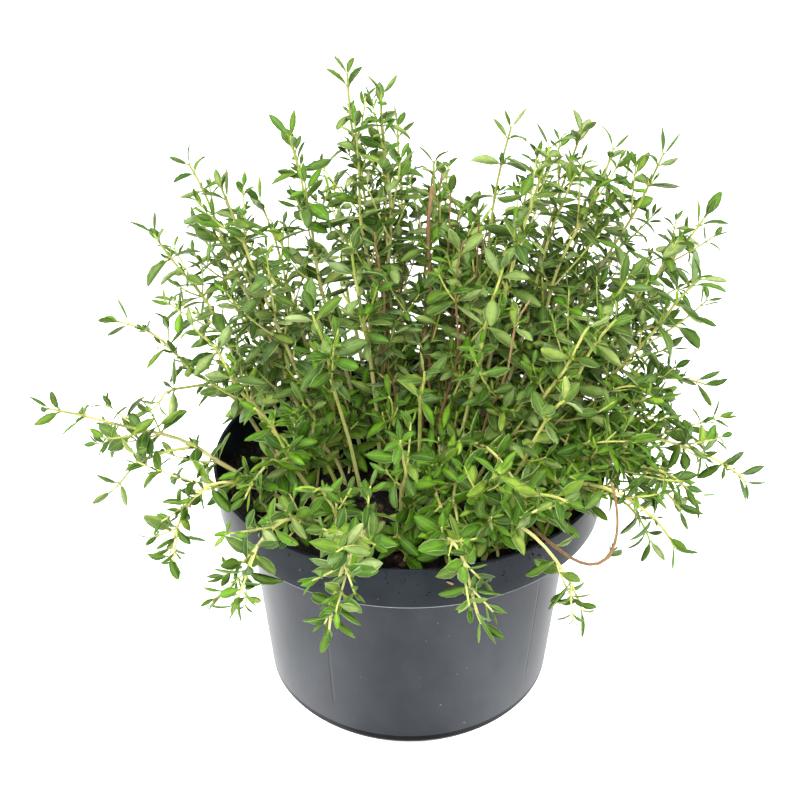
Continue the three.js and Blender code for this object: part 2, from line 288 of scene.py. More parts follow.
# Adds a node to the tree that its first linked input is in, or to the given one
def addNode(kind, inputs, tree=None, **settings):
    if tree is None:
        tree = next(v for v in inputs.values() if isinstance(v, bpy.types.NodeSocket)).id_data
    node = tree.nodes.new("ShaderNode" + kind)
    for key, value in settings.items():
        setattr(node, key, value)
    put(node, inputs)
    return node


# A number worked out from others by one named operation
def worked(operation, *inputs, clamp=False):
    return addNode("Math", dict(enumerate(inputs)), operation=operation, use_clamp=clamp).outputs[0]


def times(first, second):
    return worked("MULTIPLY", first, second)


def plus(first, second):
    return worked("ADD", first, second)


def minus(first, second):
    return worked("SUBTRACT", first, second)


# A share of one colour mixed into another
def mixed(share, first, second, mode="MIX"):
    inputs = {0: share, 6: first, 7: second}
    return addNode("Mix", inputs, data_type="RGBA", blend_type=mode).outputs[2]


# Colours laid over the first one in turn, each by its share
def layered(colour, *layers):
    for share, over in layers:
        colour = mixed(share, colour, over)
    return colour


# A colour whose red, green and blue are multiplied by three numbers
def dimmed(colour, red, green, blue):
    greys = addNode("CombineColor", {0: red, 1: green, 2: blue}).outputs[0]
    return mixed(1.0, colour, greys, "MULTIPLY")


# Goes from one value to another while the input goes from low to high
def ranged(value, low, high, start=0.0, end=1.0, smooth=True):
    inputs = {"Value": value, "From Min": low, "From Max": high, "To Min": start, "To Max": end}
    kind = "SMOOTHSTEP" if smooth else "LINEAR"
    return addNode("MapRange", inputs, interpolation_type=kind).outputs[0]


# A colour read from stops along 0 to 1
def ramped(value, stops):
    node = addNode("ValToRGB", {"Fac": value})
    ramp = node.color_ramp
    while len(ramp.elements) < len(stops):
        ramp.elements.new(0.5)
    for element, (place, colour) in zip(ramp.elements, stops):
        element.position = place
        element.color = (*colour, 1)
    return node.outputs[0]


def noiseOf(vector, scale, detail=3.0, roughness=0.55):
    inputs = {"Vector": vector, "Scale": scale, "Detail": detail, "Roughness": roughness}
    return addNode("TexNoise", inputs).outputs[0]


def cellsOf(vector, scale):
    return addNode("TexVoronoi", {"Vector": vector, "Scale": scale}).outputs["Distance"]


def vectorOf(x, y, z):
    return addNode("CombineXYZ", {0: x, 1: y, 2: z}).outputs[0]


# The values of the given names that a mesh carries at its points
def carried(spot, *names):
    return [addNode("Attribute", {}, spot.id_data, attribute_name=name).outputs["Fac"] for name in names]


# Gives a shader its colour, its roughness, a bump from a height and how strongly it shines
def finished(shader, colour, gloss, height, strength, distance, shine=0.5):
    bump = addNode("Bump", {"Height": height, "Strength": strength, "Distance": distance}).outputs[0]
    inputs = {"Base Color": colour, "Roughness": gloss, "Normal": bump, "Specular IOR Level": shine}
    put(shader, inputs)


# Colours are linear red, green and blue
leafFinish = {
    "ageColours": [
        (0.0, (0.092, 0.234, 0.002)),
        (0.3, (0.046, 0.134, 0.002)),
        (0.5, (0.200, 0.270, 0.072)),
        (0.75, (0.160, 0.248, 0.058)),
        (1.0, (0.100, 0.182, 0.048)),
    ],
    "yellowed": (0.27, 0.36, 0.03),
    "blueGreen": (0.050, 0.110, 0.045),
    # pale margin: partly the leaf's own pale edge, partly a painted highlight where the edge catches the
    # light
    "paleMarginAndHighlight": (0.50, 0.62, 0.20),
    # painted shade: a darker band towards each leaf's edges, where a domed blade turns from the light
    "rim": (0.030, 0.085, 0.008),
    "midrib": (0.20, 0.34, 0.04),
    "petiole": (0.25, 0.34, 0.05),
    "underside": (0.094, 0.172, 0.026),
    "gland": (0.03, 0.06, 0.02),
    "withered": (0.33, 0.20, 0.10),
    "witheredFrom": 0.9993,
    "leafToLeaf": (0.50, 1.46),  # brightness of the darkest and the lightest leaf
    "redFalls": 1.35,  # a dark leaf is also greener: powers of its brightness for red and for blue
    "blueFalls": 1.9,
    "mottleScale": 420,
    "glandScale": 2600.0,
    "veins": (0.26, 44.0),  # how far they run forward, and how closely they stand
    "gloss": (0.31, 0.55),
    "shine": 0.2,
}


# Leaf: colour by age, a paler midrib, stalk and underside, a pale edge that is partly painted highlight,
# painted shade towards the edges, and fine glands and veins
def makeLeafMaterial():
    look = leafFinish
    material, shader, spot = newMaterial("thymeLeaf")
    names = "growthAge", "growthTone", "leafAcross", "leafAlong", "leafUnder"
    age, tone, side, along, under = carried(spot, *names)
    across = worked("ABSOLUTE", side)
    colour = layered(
        ramped(age, look["ageColours"]),
        (ranged(tone, 0.66, 1.0, 0.0, 0.45), look["yellowed"]),
        (times(ranged(tone, 0.42, 0.0, 0.0, 0.85), age), look["blueGreen"]),
    )
    # Each leaf is a little darker or lighter than the next, by a wave of its tone
    mottle = noiseOf(spot, look["mottleScale"], 3)
    each = ranged(worked("SINE", times(tone, 57.0)), -1, 1, *look["leafToLeaf"], False)
    bright = times(ranged(mottle, 0.3, 0.7, 0.78, 1.22, False), each)
    red, blue = worked("POWER", bright, look["redFalls"]), worked("POWER", bright, look["blueFalls"])
    colour = dimmed(colour, red, bright, blue)
    # Veins run forward from the midrib: waves of along less a share of across
    forward, close = look["veins"]
    wave = times(minus(along, times(across, forward)), close)
    vein = worked("POWER", worked("ABSOLUTE", worked("SINE", wave)), 6.0)
    dots = ranged(cellsOf(spot, look["glandScale"]), 0.22, 0.08, 0.0, 0.28)
    colour = layered(
        colour,
        (times(vein, 0.16), look["midrib"]),
        (ranged(across, 0.02, 0.14, 0.42, 0.0), look["midrib"]),
        # Painted shade: the blade darkens towards its edges
        (ranged(across, 0.30, 0.8, 0.0, 0.54), look["rim"]),
        (ranged(under, 0.35, 0.75, 0.0, 0.85), look["underside"]),
        # Pale margin, partly the leaf's own colour and partly a painted highlight, stronger on older
        # leaves
        (times(ranged(across, 0.82, 0.95), ranged(age, 0.1, 0.6, 0.42, 0.66)), look["paleMarginAndHighlight"]),
        (ranged(along, 0.24, 0.08, 0.0, 0.8), look["petiole"]),
        (dots, look["gland"]),
        (worked("GREATER_THAN", tone, look["witheredFrom"]), look["withered"]),
    )
    gloss = ranged(noiseOf(spot, 500, 2), 0.35, 0.65, *look["gloss"], False)
    height = plus(plus(times(vein, -0.5), times(mottle, 0.8)), times(dots, -0.6))
    finished(shader, colour, gloss, height, 0.5, 0.0004, look["shine"])
    return material


stemFinish = {
    "ageColours": [
        (0.0, (0.280, 0.390, 0.050)),
        (0.16, (0.520, 0.560, 0.125)),
        (0.7, (0.740, 0.700, 0.330)),
        (1.0, (0.520, 0.390, 0.210)),
    ],
    "knot": (0.36, 0.22, 0.10),
    "patchScale": 160,
    "grainScale": 1500,
    "streaks": 25.0,
    "gloss": (0.5, 0.7),
}


# Green stem: pale green to cream and tan by age, with fine streaks and darker knots at the leaf pairs
def makeStemMaterial():
    look = stemFinish
    material, shader, spot = newMaterial("greenStem")
    age, tone, turned, knot = carried(spot, "growthAge", "growthTone", "leafAcross", "leafUnder")
    patch, fine = noiseOf(spot, look["patchScale"], 3), noiseOf(spot, look["grainScale"], 2)
    shift = times(minus(patch, 0.5), 0.8)
    colour = ramped(worked("ADD", age, shift, clamp=True), look["ageColours"])
    streak = worked("SINE", plus(times(turned, look["streaks"]), patch))
    bright = times(ranged(streak, -1, 1, 0.84, 1.1, False), ranged(tone, 0, 1, 0.82, 1.12, False))
    colour = layered(dimmed(colour, bright, bright, bright), (times(knot, 0.4), look["knot"]))
    gloss = ranged(fine, 0.3, 0.7, *look["gloss"], False)
    finished(shader, colour, gloss, plus(fine, times(streak, 0.4)), 0.3, 0.0002)
    return material


barkFinish = {
    "colours": [
        (0.0, (0.085, 0.036, 0.012)),
        (0.45, (0.190, 0.098, 0.034)),
        (0.75, (0.300, 0.185, 0.080)),
        (1.0, (0.430, 0.320, 0.170)),
    ],
    "flakeScale": 5.0,
    "flakeStretch": 1.6,
    "patchScale": 120,
    "gloss": (0.62, 0.87),
}


# Bark: brown-red to tan in long flakes
def makeBarkMaterial():
    look = barkFinish
    material, shader, spot = newMaterial("brownBark")
    tone, turned, along = carried(spot, "growthTone", "leafAcross", "leafAlong")
    flakeSpot = vectorOf(turned, times(along, look["flakeStretch"]), tone)
    flakes = noiseOf(flakeSpot, look["flakeScale"], 4, 0.65)
    patch = noiseOf(spot, look["patchScale"], 3)
    value = plus(plus(times(flakes, 0.75), times(patch, 0.6)), times(minus(tone, 0.9), 0.35))
    gloss = ranged(patch, 0.3, 0.7, *look["gloss"], False)
    finished(shader, ramped(value, look["colours"]), gloss, flakes, 0.7, 0.0004)
    return material


potFinish = {
    "dustColour": (0.22, 0.21, 0.19),
    # pale scratches, and the painted highlight on the collar's lower edge
    "paleScratchAndHighlight": (0.32, 0.34, 0.36),
    "soilStain": (0.012, 0.011, 0.010),
    "gloss": (0.285, 0.335),
    "seams": (-30.0, 51.0, 152.0),  # degrees round from the front
    "cloudScale": 26,
    "grainScale": 1900,
    "rareScale": 55,  # of the patches that have scratches and dust
    "dustScale": 240.0,
    "splashScale": 330,
    "collarFrom": 0.0700,
    "footTo": 0.0040,
    "parts": {  # the two colours its clouds mix, and how strongly it shines; the collar's and the foot's are darker and duller as painted shade
        "wall": ((0.008, 0.011, 0.017), (0.018, 0.023, 0.030), 0.20),
        # painted shade: the collar is darker and duller where the foliage above shades it
        "collar": ((0.008, 0.011, 0.015), (0.016, 0.021, 0.026), 0.06),
        # painted shade: the foot's band is near black where its bevel lies in shadow
        "foot": ((0.004, 0.004, 0.005), (0.010, 0.011, 0.012), 0.05),
    },
}


# Pot plastic: flow streaks round and up the wall, mould seams, scratches, dust and soil stains, and a
# painted highlight along the collar's lower edge
def makePotMaterial(part):
    look = potFinish
    plastic, paler, shine = look["parts"][part]
    material, shader, spot = newMaterial(part + "Plastic")
    x, y, z = list(addNode("SeparateXYZ", {"Vector": spot}).outputs)
    angle = worked("ARCTAN2", x, times(y, -1.0))
    streaks = noiseOf(vectorOf(times(angle, 3.0), times(z, 30.0), 0.0), 1.6, 3)
    clouds = noiseOf(spot, look["cloudScale"], 4, 0.6)
    grain = noiseOf(spot, look["grainScale"], 2)
    share = plus(times(streaks, 0.5), times(clouds, 0.6))
    # Thin marks where the mould's parts met, on the wall below the collar
    seam = 0.0
    for turn in look["seams"]:
        off = worked("ABSOLUTE", minus(angle, math.radians(turn)))
        seam = worked("MAXIMUM", seam, ranged(off, 0.004, 0.011, 1.0, 0.0))
    seam = times(seam, times(ranged(z, 0.010, 0.02), ranged(z, 0.0695, 0.0685)))
    # Scratches are the crests of noise drawn out round the wall, few and short
    rare = ranged(noiseOf(spot, look["rareScale"], 2), 0.45, 0.75)
    scratches = noiseOf(vectorOf(times(angle, 22.0), times(z, 2400.0), 0.3), 1.0, 1)
    scratches = times(ranged(scratches, 0.77, 0.83), rare)
    dust = times(ranged(cellsOf(spot, look["dustScale"]), 0.10, 0.05), rare)
    splash = ranged(noiseOf(spot, look["splashScale"], 3, 0.7), 0.62, 0.72)
    splash = times(splash, ranged(z, 0.072, 0.083))
    # Painted highlight: the collar's rounded lower edge is painted paler, as where it catches the light
    edge = worked("ABSOLUTE", minus(z, 0.0701))
    paintedEdgeHighlight = times(ranged(edge, 0.00035, 0.00015), ranged(clouds, 0.3, 0.6, 0.3, 0.8))
    colour = layered(
        mixed(ranged(share, 0.40, 0.75), plastic, paler),
        (times(seam, 0.45), look["soilStain"]),
        (times(scratches, 0.6), look["paleScratchAndHighlight"]),
        (times(dust, 0.5), look["dustColour"]),
        (times(splash, 0.75), look["soilStain"]),
        (paintedEdgeHighlight, look["paleScratchAndHighlight"]),
    )
    gloss = plus(ranged(clouds, 0.3, 0.7, *look["gloss"], False), times(splash, 0.3))
    height = plus(times(grain, 0.25), times(streaks, 0.8))
    height = minus(minus(height, times(seam, 1.6)), times(scratches, 0.5))
    finished(shader, colour, gloss, height, 0.35, 0.0002, shine)
    return material


soilFinish = {
    "dark": (0.0022, 0.0020, 0.0018),
    "brown": (0.036, 0.020, 0.011),
    "fibre": (0.200, 0.110, 0.052),
    "paleCrumb": (0.190, 0.105, 0.052),
    "grainScale": 700,
    "lumpScale": 160,
    "fibreStretch": (900.0, 260.0, 600.0),
    "gloss": (0.55, 0.95),
    "shine": 0.2,
}


# Potting soil: near black peat with brown grains, pale fibres and a few pale crumbs
def makeSoilMaterial():
    look = soilFinish
    material, shader, spot = newMaterial("pottingSoil")
    grains = noiseOf(spot, look["grainScale"], 5, 0.7)
    lumps = noiseOf(spot, look["lumpScale"], 4, 0.6)
    mapping = {"Vector": spot, "Scale": look["fibreStretch"], "Rotation": (0.4, 0.2, 0.7)}
    fibres = ranged(noiseOf(addNode("Mapping", mapping).outputs[0], 1.0, 2), 0.66, 0.74)
    pale = ranged(carried(spot, "growthTone")[0], 0.72, 1.0, 0.0, 0.85)
    colour = layered(
        mixed(ranged(grains, 0.48, 0.72), look["dark"], look["brown"]),
        (times(fibres, 0.7), look["fibre"]),
        (times(pale, grains), look["paleCrumb"]),
    )
    gloss = ranged(lumps, 0.3, 0.7, *look["gloss"], False)
    finished(shader, colour, gloss, plus(grains, times(lumps, 1.5)), 0.9, 0.0012, look["shine"])
    return material


thymeLeaf = makeLeafMaterial()
greenStem = makeStemMaterial()
brownBark = makeBarkMaterial()
potPlastics = [makePotMaterial(part) for part in potFinish["parts"]]
pottingSoil = makeSoilMaterial()
print("materials are made")


# Floor: plain white paper with painted light: it glows, so that it meets the white surroundings unseen,
# more beside the pot and most near its foot, where it fills in the pot's shadow
def makeFloor():
    rim = around(studio["floorRadius"], evenTurns(64), 0.0)
    mesh = bpy.data.meshes.new("paleFloor")
    mesh.from_pydata(rim.tolist(), [], [list(range(len(rim)))])
    floor = placed("paleFloor", mesh)
    material, shader, spot = newMaterial("palePaper")
    tone = ranged(noiseOf(spot, 40, 2), 0.3, 0.7, 0.985, 1.0, False)
    colour = dimmed(studio["floorColour"], tone, tone, tone)
    x = addNode("SeparateXYZ", {"Vector": spot}).outputs[0]
    reach = addNode("VectorMath", {0: spot}, operation="LENGTH").outputs["Value"]
    side = worked("DIVIDE", worked("ABSOLUTE", x), worked("MAXIMUM", reach, 0.001))
    front, most, far = studio["floorGlow"]
    near, beyond, boost = studio["glowAtFoot"]
    full, edge, least = studio["glowPast"]
    beside = ranged(side, *studio["glowFrom"], front, most)
    beside = times(beside, ranged(reach, near, beyond, boost, 1.0))
    beside = times(beside, ranged(side, full, edge, 1.0, least))
    glow = addNode("Mix", {0: ranged(reach, *studio["glowTo"]), 2: beside, 3: far}).outputs[0]
    put(shader, {"Base Color": colour, "Roughness": 0.9, "Specular IOR Level": 0.1})
    put(shader, {"Emission Color": (1, 1, 1), "Emission Strength": glow})
    mesh.materials.append(material)


makeFloor()

# Pot: outline as radius and height in millimetres with the rounding of each corner
potForm = {
    "outline": [
        (43.0, 0.7, 0.4), (44.2, 0.0, 0.3), (48.0, 0.0, 0.5), (49.35, 1.9, 0.4), (49.528, 4.0, 0.1),
        (55.2, 70.9, 0.5), (62.8, 70.9, 0.3), (62.9, 70.0, 0.25), (64.0, 70.0, 0.3), (65.0, 84.7, 0.3),
        (64.5, 84.9, 0.2), (64.1, 84.9, 0.2), (63.8, 84.5, 0.3), (62.9, 72.3, 0.8), (54.2, 72.0, 0.8),
        (48.2, 1.9, 1.2),
    ],
    "collar": (64.0, 70.0, 14.7),  # radius and height at its foot, and its rise for 1 mm of radius
    "lipAt": 84.9,
    "clearInside": 61.0,  # leaves below the lip stay within this radius or beyond the next one
    "clearOutside": 66.5,
    "bottomAt": 0.7,  # height of the middle of the underside
    "floorAt": 1.8,  # height of the floor inside
    "step": 6.0,  # most millimetres between two rings
    "steps": 224,
    "holes": 6,
    "holeRadius": 5.0,
    "holeCircle": 33.0,
    "drill": (-2.0, 4.0),  # heights between which the holes are cut
    "unevenness": 0.10,  # millimetres by which a thin wall is out of round
    "sharpFrom": 40.0,  # degrees
}


# Each corner becomes a curve: (1-t)^2 A + 2t(1-t) B + t^2 C from one side of the corner to the other
def roundedOutline(outline, start, end, pieces=4):
    corners = np.array([start, *[row[:2] for row in outline], end], float)
    t = np.linspace(0, 1, pieces + 1)[:, None]
    made = [corners[:1]]
    for i, (_, _, radius) in enumerate(outline, 1):
        before, here, after = corners[i - 1 : i + 2]
        first = here + (before - here) * min(0.45, radius / np.linalg.norm(before - here))
        last = here + (after - here) * min(0.45, radius / np.linalg.norm(after - here))
        made.append((1 - t) ** 2 * first + 2 * t * (1 - t) * here + t**2 * last)
    made.append(corners[-1:])
    return np.concatenate(made)


# Long straight parts of an outline get further points, no more than the given step apart
def subdivided(outline, step):
    made = [outline[:1]]
    for first, last in zip(outline[:-1], outline[1:]):
        count = max(1, math.ceil(np.linalg.norm(last - first) / step))
        t = np.linspace(0, 1, count + 1)[1:, None]
        made.append(first + (last - first) * t)
    return np.concatenate(made)


# A closed mesh from rings in millimetres, with a point on the Z axis at its foot and its head
def ringMesh(name, foot, rings, head):
    points = np.concatenate([[[0, 0, foot]], rings.reshape(-1, 3), [[0, 0, head]]]) * mm
    quads, fans = loftFaces(1, *rings.shape[:2])
    mesh = bpy.data.meshes.new(name)
    mesh.from_pydata(points.tolist(), [], quads.tolist() + fans.tolist())
    mesh.shade_smooth()
    return mesh


# Removes round holes through a mesh and gives back the mesh that is left
def drilled(mesh, places, radius, ends, sides=40):
    low, high = ends
    circles = around(radius, evenTurns(sides), np.array([[low], [high]]))
    pin = np.concatenate([[[0, 0, low]], circles.reshape(-1, 3), [[0, 0, high]]])
    points = (pin + places[:, None]).reshape(-1, 3) * mm
    quads, fans = loftFaces(len(places), 2, sides)
    drill = bpy.data.meshes.new("drill")
    drill.from_pydata(points.tolist(), [], quads.tolist() + fans.tolist())
    solid, cutter = placed("drilled", mesh), placed("drill", drill)
    cut = solid.modifiers.new("holes", "BOOLEAN")
    cut.object = cutter
    cut.solver = "EXACT"
    graph = bpy.context.evaluated_depsgraph_get()
    made = bpy.data.meshes.new_from_object(solid.evaluated_get(graph))
    bpy.data.objects.remove(solid)
    bpy.data.objects.remove(cutter)
    return made


# The outline turned round the Z axis; its wall is out of round by slow waves, least at the foot
def makePot():
    form = potForm
    outline = roundedOutline(form["outline"], (0.0, form["bottomAt"]), (0.0, form["floorAt"]))
    outline = subdivided(outline, form["step"])
    turns = evenTurns(form["steps"])
    radius, height = outline[1:-1, :1], outline[1:-1, 1:]
    wave = np.sin(2 * turns + 0.6) + 0.6 * np.sin(3 * turns + 2.1)
    shift = form["unevenness"] * wave * smoothRise(radius, 40, 62) * smoothRise(height, 0, 80)
    rings = around(radius + shift, turns, height)
    mesh = ringMesh("potShell", outline[0, 1], rings, outline[-1, 1])
    places = around(form["holeCircle"], evenTurns(form["holes"]), 0.0)
    mesh = drilled(mesh, places, form["holeRadius"], form["drill"])
    mesh.name = "potShell"
    mesh.materials.clear()
    for plastic in potPlastics:
        mesh.materials.append(plastic)
    # The collar and the foot are parts of their own on the outside, with darker, duller plastic that
    # paints the shade under the foliage and at the foot
    centres = np.zeros(len(mesh.polygons) * 3)
    normals = np.zeros(len(mesh.polygons) * 3)
    mesh.polygons.foreach_get("center", centres)
    mesh.polygons.foreach_get("normal", normals)
    centres, normals = centres.reshape(-1, 3), normals.reshape(-1, 3)
    outer = (centres[:, :2] * normals[:, :2]).sum(-1) > 0
    part = np.where(outer & (centres[:, 2] > potFinish["collarFrom"]), 1, 0)
    part = np.where(outer & (centres[:, 2] < potFinish["footTo"]), 2, part)
    mesh.polygons.foreach_set("material_index", part.astype(np.int32))
    mesh.set_sharp_from_angle(angle=math.radians(form["sharpFrom"]))
    placePiece("potShell", mesh, ["pot"])


makePot()
print("pot is made")

# Soil: outline of the root ball in millimetres, and the relief of its top
soilForm = {
    "outline": [(0.01, 2.1), (47.8, 2.1), (53.8, 72.4), (62.5, 72.4), (62.5, 73.4)],
    "step": 4.0,
    "radius": 62.5,
    "level": 75.6,
    "edgeLevel": 74.2,
    "edge": (52.0, 62.3),  # radii between which the top falls to the edge's level
    "waves": (1.1, 17.0),  # height and length of its waves
    "fineWaves": (0.5, 3.6),
    "steps": 200,
    "rings": 46,
    "crumbs": 900,
    "crumbSize": (0.5, 2.1),
    "crumbReach": 61.5,
}


# Height of the soil's top: level in the middle, lower at the edge, with waves of two sizes
def soilTop(x, y):
    form = soilForm
    flat = np.stack([x, y, 0 * x], -1)
    edge = smoothRise(np.hypot(x, y), *form["edge"])
    height = form["level"] + (form["edgeLevel"] - form["level"]) * edge
    size, wavelength = form["waves"]
    height = height + size * relief(flat, 3, wavelength) * (1 - 0.5 * edge)
    size, wavelength = form["fineWaves"]
    return height + size * relief(flat, 4, wavelength, 14, 2)


def onSoil(x, y, above=0.0):
    return np.stack([x, y, soilTop(x, y) + above], -1)


# The outline turned round the Z axis, closed by rings that follow the top inwards
def makeSoil():
    form = soilForm
    turns = evenTurns(form["steps"])
    outline = subdivided(np.array(form["outline"]), form["step"])[1:]
    radii = (form["radius"] * np.linspace(1, 0.02, form["rings"]) ** 0.8)[:, None]
    top = onSoil(radii * np.cos(turns), radii * np.sin(turns))
    rings = np.concatenate([around(outline[:, :1], turns, outline[:, 1:]), top])
    middle = float(soilTop(np.zeros(1), np.zeros(1))[0])
    mesh = ringMesh("soilFill", form["outline"][0][1], rings, middle)
    mesh.materials.append(pottingSoil)
    placePiece("soilFill", mesh, ["soil"])


# Lumps: rings of a ball, each point moved in or out by a drawn share, stretched and turned
def lumpLoft(places, sizes, draw, flatness=0.7, sides=6, rings=4):
    count = len(places)
    rise = np.linspace(-1, 1, rings + 2)[1:-1] * 0.9
    ball = around(np.sqrt(1 - rise**2)[:, None], evenTurns(sides), rise[:, None]).reshape(-1, 3)
    ball = np.concatenate([[[0, 0, -1]], ball, [[0, 0, 1]]])
    ball = ball * draw.uniform(0.72, 1.15, (count, len(ball), 1))
    long, wide = draw.uniform(0.8, 1.4, count), draw.uniform(0.7, 1.1, count)
    ball = ball * np.stack([long, wide, np.full(count, flatness)], -1)[:, None]
    turn = draw.uniform(0, fullTurn, count)[:, None]
    x = ball[..., 0] * np.cos(turn) - ball[..., 1] * np.sin(turn)
    y = ball[..., 0] * np.sin(turn) + ball[..., 1] * np.cos(turn)
    turned = np.stack([x, y, ball[..., 2]], -1) * sizes[:, None, None]
    tones = {"growthTone": draw.uniform(0, 1, (count, 1))}
    return loftOf(places[:, None] + turned, sides, 0, 1.0, tones)


# Crumbs lie all over the soil: the radius is the root of an even draw
def makeCrumbs():
    form = soilForm
    draw = np.random.default_rng(21)
    radius = form["crumbReach"] * np.sqrt(draw.uniform(0, 1, form["crumbs"]))
    turn = draw.uniform(0, fullTurn, form["crumbs"])
    x, y = radius * np.cos(turn), radius * np.sin(turn)
    size = crowded(draw, *form["crumbSize"], form["crumbs"], 2.2)
    lofts = [lumpLoft(onSoil(x, y, size * 0.25), size, draw)]
    addPiece("soilCrumbs", lofts, [pottingSoil])


# Soil specks stuck to the front of the collar, more of them high up
speckForm = {"count": 90, "size": (0.14, 0.42), "turn": (-128.0, -52.0), "height": (84.2, 72.5)}


# Radius of the collar's outside: it grows evenly with height
def collarRadius(height):
    radius, foot, rise = potForm["collar"]
    return radius + (height - foot) / rise


# Lumps on the collar: their turns are an even draw and their heights a power of one
def makeSpecks():
    form = speckForm
    draw = np.random.default_rng(22)
    turn = np.radians(draw.uniform(*form["turn"], form["count"]))
    height = crowded(draw, *form["height"], form["count"], 1.6)
    size = crowded(draw, *form["size"], form["count"], 2)
    places = around(collarRadius(height) + 0.02, turn, height)
    addPiece("collarSpecks", [lumpLoft(places, size, draw, 0.9, 5, 3)], [pottingSoil])


makeSoil()
makeCrumbs()
makeSpecks()
print("soil is made")


# Tubes: rings round an axis with eight or fewer points, a little square, ended by a short point
def tubeLoft(places, along, level, radius, sides, square, values, slot=1, mapSize=1.0):
    turns = (np.arange(sides) / sides * 2 * np.pi)[None, None]
    side = unit(level[:, None] - along * (level[:, None] * along).sum(-1, keepdims=True))
    other = np.cross(along, side)
    reach = (radius[..., None] * (1 + square * np.cos(4 * turns)))[..., None]
    ways = side[:, :, None] * np.cos(turns)[..., None] + other[:, :, None] * np.sin(turns)[..., None]
    ring = places[:, :, None] + reach * ways
    count, rings = places.shape[:2]
    foot = places[:, :1] - along[:, :1] * radius[:, :1, None] * 0.5
    head = places[:, -1:] + along[:, -1:] * radius[:, -1:, None] * 0.8
    points = np.concatenate([foot, ring.reshape(count, rings * sides, 3), head], 1)
    filled = {"leafAcross": np.r_[0.5, np.tile(np.arange(sides) / sides, rings), 0.5][None]}
    for key, value in values.items():
        value = np.broadcast_to(value, (count, rings))
        inner = np.repeat(value, sides, axis=1)
        filled[key] = np.concatenate([value[:, :1], inner, value[:, -1:]], 1)
    return loftOf(points, sides, slot, mapSize, filled)


# One brown splinter stuck to the collar: its ends as degrees round and height
splinter = {
    "ends": ((-80.6, 80.2), (-79.0, 79.0)),
    "radii": (0.6, 1.0, 0.8),  # shares of the radius
    "radius": 0.42,
    "off": 0.25,
}


# A tube of three rings whose middle one is the mean of its ends
def makeSplinter():
    ends = np.array(splinter["ends"])
    turn, height = np.stack([ends[0], ends.mean(0), ends[1]]).T
    places = around(collarRadius(height) + splinter["off"], np.radians(turn), height)[None]
    along = unit(np.repeat(places[:, -1:] - places[:, :1], 3, axis=1))
    radius = splinter["radius"] * np.array([splinter["radii"]])
    values = {"growthAge": 0.5, "growthTone": 1.0, "leafAlong": np.array([[0.1, 0.4, 0.8]])}
    lofts = [tubeLoft(places, along, up[None], radius, 6, 0.0, values, 0)]
    addPiece("brownSplinter", lofts, [brownBark])


makeSplinter()

# The plant's stems as tip x, y, z and arch in millimetres, the same as in the solids
stemTable = {
    "centre": [
        (-20, 45, 199, 2), (-9, 35, 196, 2), (-37, 20, 187, 3), (31, 20, 190, 3), (41, 2, 190, 3),
        (54, 32, 184, 3), (8, 44, 170, 2), (20, 32, 158, 2), (-18, -4, 162, 3), (27, -18, 160, 3),
        (-29, -25, 149, 3), (4, -34, 134, 3),
    ],
    "left": [
        (-69, 20, 178, 4), (-57, 4, 176, 4), (-49, 32, 161, 3), (-79, 5, 161, 6), (-70, 30, 152, 5),
        (-97, 20, 123, 9), (-110, -28, 118, 5), (-66, -14, 138, 7), (-46, -38, 124, 6),
    ],
    "right": [
        (62, 15, 185, 3), (80, 27, 179, 4), (92, 12, 164, 5), (88, -8, 152, 6), (88, 36, 136, 9),
        (84, 20, 122, 11), (97, 4, 108, 14), (107, -22, 87, 18), (86, -40, 94, 15), (80, -50, 82, 17),
        (66, -8, 152, 4), (52, -28, 146, 4), (44, -44, 130, 6),
    ],
    "front": [(25, -60, 116, 6), (-3, -56, 124, 4), (44, -66, 110, 9), (-28, -58, 108, 7)],
    "back": [
        (-60, 68, 138, 5), (-28, 80, 150, 4), (14, 76, 156, 4), (46, 72, 152, 4), (76, 56, 138, 6),
        (-82, 46, 118, 8), (30, 102, 112, 10), (70, 84, 104, 12), (-4, 62, 176, 3), (-56, 96, 104, 12),
    ],
}
# Curves over the rim: root, two points that draw the curve, and tip
trailingTable = [
    ((-38, -20, 76), (-58, -36, 110), (-69, -44, 96), (-74, -47, 76)),
    ((-26, -33, 76), (-38, -58, 110), (-46, -68, 94), (-51, -70, 76)),
    ((-11, -38, 76), (-16, -68, 110), (-20, -84, 100), (-23, -87, 81)),
    ((7, -41, 76), (10, -66, 108), (15, -77, 94), (20, -79, 77)),
    ((18, -34, 76), (30, -60, 110), (43, -72, 96), (50, -70, 74)),
]
# Long side shoots: share of the stem where they leave it, their tip and arch
shootTable = {
    "left_stem_6": (0.42, (-84, -6, 104), 5),
    "left_stem_7": (0.40, (-92, -38, 94), 4),
    "right_stem_7": (0.45, (88, 20, 113), 5),
    "right_stem_8": (0.50, (90, -6, 98), 4),
    "right_stem_9": (0.55, (86, -26, 84), 5),
    "back_stem_2": (0.40, (-32, 98, 110), 6),
}
woodyCut = (7, 24, 169, 2)
woodyLoop = (  # two joined curves: over the rim and down, then up again
    (34, -28, 76), (36, -42, 88), (37, -54, 89), (48, -57, 83),
    (60, -60, 77), (64, -56, 90), (59, -49, 105),
)
loopView = {"shown": (12, 36), "apart": 2.3}  # its samples that no leaf hides, and how far leaves stay
fan = {"focus": -10.0, "soil": 76.0, "rootCircle": 46.0}  # upright stems point away from the focus
goldenAngle = 137.5  # degrees from stem to stem, as leaves turn

